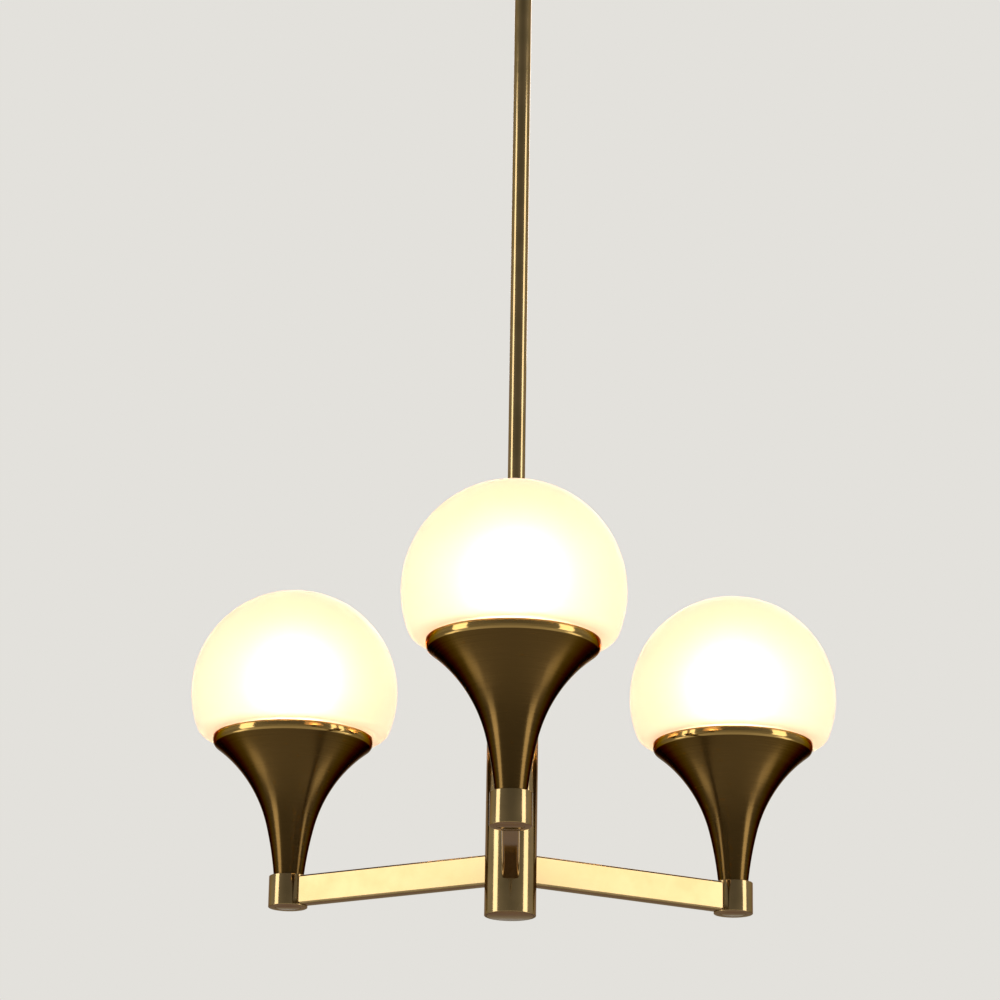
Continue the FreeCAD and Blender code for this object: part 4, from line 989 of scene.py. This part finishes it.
# %% Threaded tubes
M10_RADIUS, M10_BORE = 4.95 * MM, 3.5 * MM
M10_DEPTH, M10_PITCH, M10_CORNERS = 0.45 * MM, 1.0 * MM, 4
M10_CORE = M10_RADIUS - M10_DEPTH
BARE_END, SHORT_BARE_END, HIDDEN_IN_ROD = 1.0 * MM, 0.6 * MM, 2.0 * MM
zinc_steel = FINISHES["zinc_steel"]


def threaded_tube(name, node, low, high):
    """Core tube and its thread, about the upright axis, for one CAD node's length."""
    foot, top = heights(node)
    core = lathe(name + "_core", [(M10_BORE, foot), (M10_CORE, foot), (M10_CORE, top),
                                  (M10_BORE, top)], zinc_steel, segments=48)
    ridge = thread(name + "_thread", M10_CORE, M10_DEPTH, M10_PITCH, low, high, M10_CORNERS,
                   zinc_steel)
    return core, ridge


rod_tube_high = heights("stem_top_nipple")[1]
nipple_low, nipple_high = heights("canopy_nipple")
for name, node, body, low, high in (
        ("rod_top_tube", "stem_top_nipple", "chandelier", stem_high - HIDDEN_IN_ROD,
         rod_tube_high - BARE_END),
        ("canopy_tube", "canopy_nipple", "ceiling", nipple_low + BARE_END,
         nipple_high - SHORT_BARE_END)):
    core, ridge = threaded_tube(name, node, low, high)
    dress(core, body, node)
    dress(ridge, body)

core, ridge = threaded_tube("cup_tube", "neck_nipple_1", boss_high + BARE_END,
                            heights("neck_nipple_1")[1] - BARE_END)
dress(three_round_hub("cup_tubes", core), "chandelier",
      "neck_nipple_1", "neck_nipple_2", "neck_nipple_3")
dress(three_round_hub("cup_tube_threads", ridge), "chandelier")
print("M10 tubes and threads made, pitch", round(M10_PITCH / MM, 1), "mm")

# %% [markdown]
# ## Bulbs
# Inside each globe stands a golf-ball bulb: an opal ball, a short neck and a nickel cap with a
# rolled thread. It is the brightest thing on the lamp and seen only as a glow through the opal
# glass, but it shows in full once the globe is lifted, so it gets its true outline.

# %% Bulbs
BALL, BALL_STEPS = 22.5 * MM, 36
NECK_ANGLE = -52
CAP_LENGTH, CAP_NECK, NECK_ROUND = 24.0 * MM, 8.6 * MM, 0.8 * MM
E14_RADIUS, E14_DEPTH, E14_PITCH, E14_CORNERS = 6.9 * MM, 0.55 * MM, 2.82 * MM, 12
E14_CORE = E14_RADIUS - E14_DEPTH
E14_FROM, E14_TO = 5.4 * MM, 19.0 * MM


def bulb_outline(low, top):
    """Half outline of the glass, from the middle of its foot up to the top."""
    neck = arc((0.0, top - BALL), BALL, NECK_ANGLE, 90, BALL_STEPS)
    neck[-1] = (0.0, top)
    foot = (CAP_NECK, low + CAP_LENGTH)
    return rounded([(0.0, foot[1]), foot, neck[0]] + neck[1:], {1: NECK_ROUND}, 4)


def cap_outline(low):
    """Half outline of the cap's core: contact button, insulator cone, thread core and collar."""
    profile = [
        (0.0, 0.0), (2.4 * MM, 0.0), (3.2 * MM, 1.4 * MM),
        (5.2 * MM, 3.4 * MM),
        (E14_CORE, 4.6 * MM), (E14_CORE, 19.6 * MM),
        (E14_RADIUS, 20.4 * MM), (E14_RADIUS, CAP_LENGTH), (0.0, CAP_LENGTH),
    ]
    return rounded([(radius, low + up) for radius, up in profile],
                   {1: 0.5 * MM, 3: 0.5 * MM, 5: 0.3 * MM}, 3)


nickel_cap = FINISHES["nickel_cap"]
for number in range(1, ARMS + 1):
    body, cap, glass = f"bulb_{number}", f"bulb_cap_{number}", f"bulb_glass_{number}"
    at = middle(cap)
    spot = (at.x, at.y)
    low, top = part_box(cap)[0].z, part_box(glass)[1].z
    dress(lathe(f"bulb_ball_{number}", bulb_outline(low, top), lit_bulb, centre=spot, segments=96,
                ring=False), body, glass)
    dress(lathe(f"screw_cap_{number}", cap_outline(low), nickel_cap, centre=spot, segments=72,
                ring=False), body, cap)
    dress(thread(f"screw_cap_thread_{number}", E14_CORE, E14_DEPTH, E14_PITCH, low + E14_FROM,
                 low + E14_TO, E14_CORNERS, nickel_cap, spot), body)
print("bulb", round((top - low) / MM, 1), "mm long")

# %% [markdown]
# ## Lampholders and gaskets
# A lampholder is a moulded phenolic cup with a few shallow grip rings round it, left by the
# mould so that fingers can hold it while it is screwed on. The soft gasket is a plain ring on
# the cup's ledge; the glass neck rests on it.

# %% Lampholders and gaskets
HOLDER, SOCKET = 13.5 * MM, 7.55 * MM
HOLDER_FOOT_BEVEL, HOLDER_TOP_BEVEL, SOCKET_BEVEL = 3.0 * MM, 1.0 * MM, 0.6 * MM
ENTRY_DEPTH, SOCKET_FLOOR = 6.5 * MM, 10.0 * MM
GRIP_RINGS, GRIP_FROM, GRIP_STEP, GRIP_DEPTH = 5, 8.0 * MM, 1.6 * MM, 0.35 * MM
# one ring, as a shallow groove: how deep at each height
GRIP_GROOVE = [(0.0, 0.0), (GRIP_DEPTH, 0.3 * MM), (GRIP_DEPTH, 0.7 * MM), (0.0, 1.0 * MM)]
holder_low, holder_high = heights("lampholder_1")
entry_top, socket_floor = holder_low + ENTRY_DEPTH, holder_low + SOCKET_FLOOR
holder_line = [(0.0, entry_top), (THREAD_HOLE, entry_top), (THREAD_HOLE, holder_low),
               (HOLDER - HOLDER_FOOT_BEVEL, holder_low), (HOLDER, holder_low + HOLDER_FOOT_BEVEL)]
for step in range(GRIP_RINGS):
    start = holder_low + GRIP_FROM + step * GRIP_STEP
    holder_line += [(HOLDER - depth, start + rise) for depth, rise in GRIP_GROOVE]
holder_line += [
    (HOLDER, holder_high - HOLDER_TOP_BEVEL), (HOLDER - HOLDER_TOP_BEVEL, holder_high),
    (SOCKET + SOCKET_BEVEL, holder_high), (SOCKET, holder_high - SOCKET_BEVEL),
    (SOCKET, socket_floor), (0.0, socket_floor),
]
holder_seed = lathe("holder_seed", holder_line, FINISHES["black_phenolic"], segments=96,
                    ring=False)
dress(three_round_hub("lampholder_bodies", holder_seed), "chandelier",
      "lampholder_1", "lampholder_2", "lampholder_3")

GASKET_GAP, GASKET_HEIGHT = 0.4 * MM, 1.2 * MM
GASKET_FOOT_EDGE, GASKET_TOP_EDGE = 0.25 * MM, 0.4 * MM
gasket_in, gasket_out = LEDGE[0] + GASKET_GAP, RIM_BORE - GASKET_GAP
gasket_low, gasket_top = LEDGE[1], LEDGE[1] + GASKET_HEIGHT
gasket_line = rounded([(gasket_in, gasket_low), (gasket_out, gasket_low),
                       (gasket_out, gasket_top), (gasket_in, gasket_top)],
                      {1: GASKET_FOOT_EDGE, 2: GASKET_TOP_EDGE, 3: GASKET_TOP_EDGE}, 4)
gasket_seed = lathe("gasket_seed", gasket_line, FINISHES["gasket_rubber"])
dress(three_round_hub("glass_gasket_rings", gasket_seed), "chandelier", "glass_gaskets")
print("lampholder", round((holder_high - holder_low) / MM, 1), "mm high")

# %% [markdown]
# ## Ceiling canopy and swivel
# At the ceiling a spun canopy covers the strip and the wiring. Under it a turned cap closes the
# swivel housing, and in the housing's open mouth the ball hangs in its seat, so that the rod
# always falls plumb. The canopy is spun from sheet: one soft bend leads from its side into its
# flat face. The housing is turned from bar, with one fine groove cut round it.

# %% Ceiling canopy and swivel
canopy_low, canopy_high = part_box("canopy")
CANOPY = (canopy_high.x - canopy_low.x) / 2
CANOPY_BEND, CANOPY_SHEET, CANOPY_EDGE = 8.0 * MM, 1.2 * MM, 0.3 * MM
face, inner_face = canopy_low.z, canopy_low.z + CANOPY_SHEET
canopy_line = rounded([
    (THREAD_HOLE, face), (CANOPY, face), (CANOPY, canopy_high.z),
    (CANOPY - CANOPY_SHEET, canopy_high.z), (CANOPY - CANOPY_SHEET, inner_face),
    (THREAD_HOLE, inner_face),
], {1: CANOPY_BEND, 2: CANOPY_EDGE, 4: CANOPY_BEND - CANOPY_SHEET}, 10)
dress(lathe("ceiling_canopy", canopy_line, polished_brass, segments=192), "ceiling", "canopy")

low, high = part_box("swivel_cap")
TURNED, SPIGOT, FLANGE, TURNED_EDGE = (high.x - low.x) / 2, 13.95 * MM, 3.0 * MM, 0.5 * MM
flange = high.z - FLANGE
cap_line = rounded([(THREAD_HOLE, low.z), (SPIGOT, low.z), (SPIGOT, flange), (TURNED, flange),
                    (TURNED, high.z), (THREAD_HOLE, high.z)],
                   {3: TURNED_EDGE, 4: TURNED_EDGE}, 4)
dress(lathe("swivel_top_cap", cap_line, polished_brass), "ceiling", "swivel_cap")

low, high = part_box("swivel_housing")
LIP, MOUTH, HOUSING_BORE, FOOT_BEND = 2.5 * MM, 9.6 * MM, 14.0 * MM, 1.5 * MM
MOUTH_EDGE, GROOVE_DROP = 0.4 * MM, 7.0 * MM
GROOVE_DEPTH, GROOVE_HEIGHT, GROOVE_SLOPE = 0.4 * MM, 1.2 * MM, 0.3 * MM
groove_top = high.z - GROOVE_DROP
groove_low = groove_top - GROOVE_HEIGHT
housing_line = rounded([
    (MOUTH, low.z), (TURNED, low.z), (TURNED, groove_low),
    (TURNED - GROOVE_DEPTH, groove_low + GROOVE_SLOPE),
    (TURNED - GROOVE_DEPTH, groove_top - GROOVE_SLOPE), (TURNED, groove_top), (TURNED, high.z),
    (HOUSING_BORE, high.z), (HOUSING_BORE, low.z + LIP), (MOUTH, low.z + LIP),
], {0: TURNED_EDGE, 1: FOOT_BEND, 6: TURNED_EDGE, 9: MOUTH_EDGE}, 6)
dress(lathe("swivel_body", housing_line, polished_brass), "ceiling", "swivel_housing")
print("canopy", round(2 * CANOPY / MM), "mm wide, swivel", round(2 * TURNED / MM), "mm wide")

# %% [markdown]
# ## Knurled side screws
# Two thumb screws hold the canopy. Their heads are knurled so that fingers can grip them: fine
# straight ridges all round, which the set-out tree makes from one ridge. The screws are built
# upright and then laid over, one to each side.

# %% Knurled side screws
HEAD, HEAD_LENGTH, HEAD_EDGE = 4.0 * MM, 4.0 * MM, 0.5 * MM
SHANK, SHANK_LENGTH, SHANK_EDGE = 2.0 * MM, 9.0 * MM, 0.3 * MM
HEAD_BEVEL = 0.6 * MM
RIDGES, RIDGE_SIZE = 30, 0.28 * MM
RIDGE_SIDE = RIDGE_SIZE * math.sqrt(2)
screw_low, screw_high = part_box("canopy_screws")
screw_level = (screw_low.z + screw_high.z) / 2


def thumb_screw(name, hand):
    """One screw and its knurl; hand is -1 at the left end of the strip and 1 at the right."""
    tip = screw_high.x
    head_foot = tip - HEAD_LENGTH
    shank_end = head_foot - SHANK_LENGTH
    grip = HEAD - RIDGE_SIZE
    body_line = rounded([
        (0.0, shank_end), (SHANK, shank_end), (SHANK, head_foot), (grip - HEAD_BEVEL, head_foot),
        (grip, head_foot + HEAD_EDGE), (grip, tip - HEAD_EDGE), (grip - HEAD_BEVEL, tip),
        (0.0, tip),
    ], {1: SHANK_EDGE}, 3)
    body = lathe(name, body_line, polished_brass, segments=60, ring=False)
    shape = bmesh.new()
    ridge_size = Matrix.Diagonal((RIDGE_SIDE, RIDGE_SIDE, HEAD_LENGTH - 2 * HEAD_BEVEL, 1.0))
    bmesh.ops.create_cube(shape, size=1.0,
                          matrix=Matrix.Translation((0, 0, (head_foot + tip) / 2)) @ ridge_size
                          @ Matrix.Rotation(math.radians(45), 4, "Z"))
    knurl = set_out(name + "_knurl", new_piece(name + "_ridge", shape, polished_brass), grip,
                    RIDGES)
    lay = (Matrix.Translation((0, 0, screw_level))
           @ Matrix.Rotation(math.radians(90 * hand), 4, "Y"))
    for piece in (body, knurl):
        piece.data.transform(lay)
    return body, knurl


# both screws are one CAD node, so the first stands for it
for name, hand, nodes in (("thumb_screw_left", -1, ["canopy_screws"]),
                          ("thumb_screw_right", 1, [])):
    body, knurl = thumb_screw(name, hand)
    dress(body, "ceiling", *nodes)
    dress(knurl, "ceiling")
print(RIDGES, "knurl ridges on each screw")

# %% [markdown]
# ## Plain inner parts
# Nuts, sleeves, flexes, the strip and the connector blocks are right as the CAD model has them.
# Their CAD meshes are loose triangles, so each gets a merged copy that is shaded smooth between
# its sharp edges.

# %% Smooth copies of the inner parts
INNER_PARTS = [
    "ceiling_bracket", "canopy_nut", "terminal_block", "block_fixing_screw", "earth_screw",
    "ceiling_flex", "swivel_seat", "swivel_ball", "stem_bottom_nipple", "hub_core",
    "splice_block", "stem_flex", "m10_nuts", "lamp_contacts",
] + [f"{name}_{number}" for name in ("lamp_sleeve", "arm_flex") for number in range(1, ARMS + 1)]
for node in INNER_PARTS:
    shape = bmesh.new()
    shape.from_mesh(frame["nodes"][node].data)
    dress(new_piece(node + "_smooth", shape, FINISHES[node_slot[node]]),
          frame["nodes"][node]["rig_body"], node)
print(len(INNER_PARTS), "inner parts smoothed")

# %% [markdown]
# ## End

# %% Finish
print("script finished")
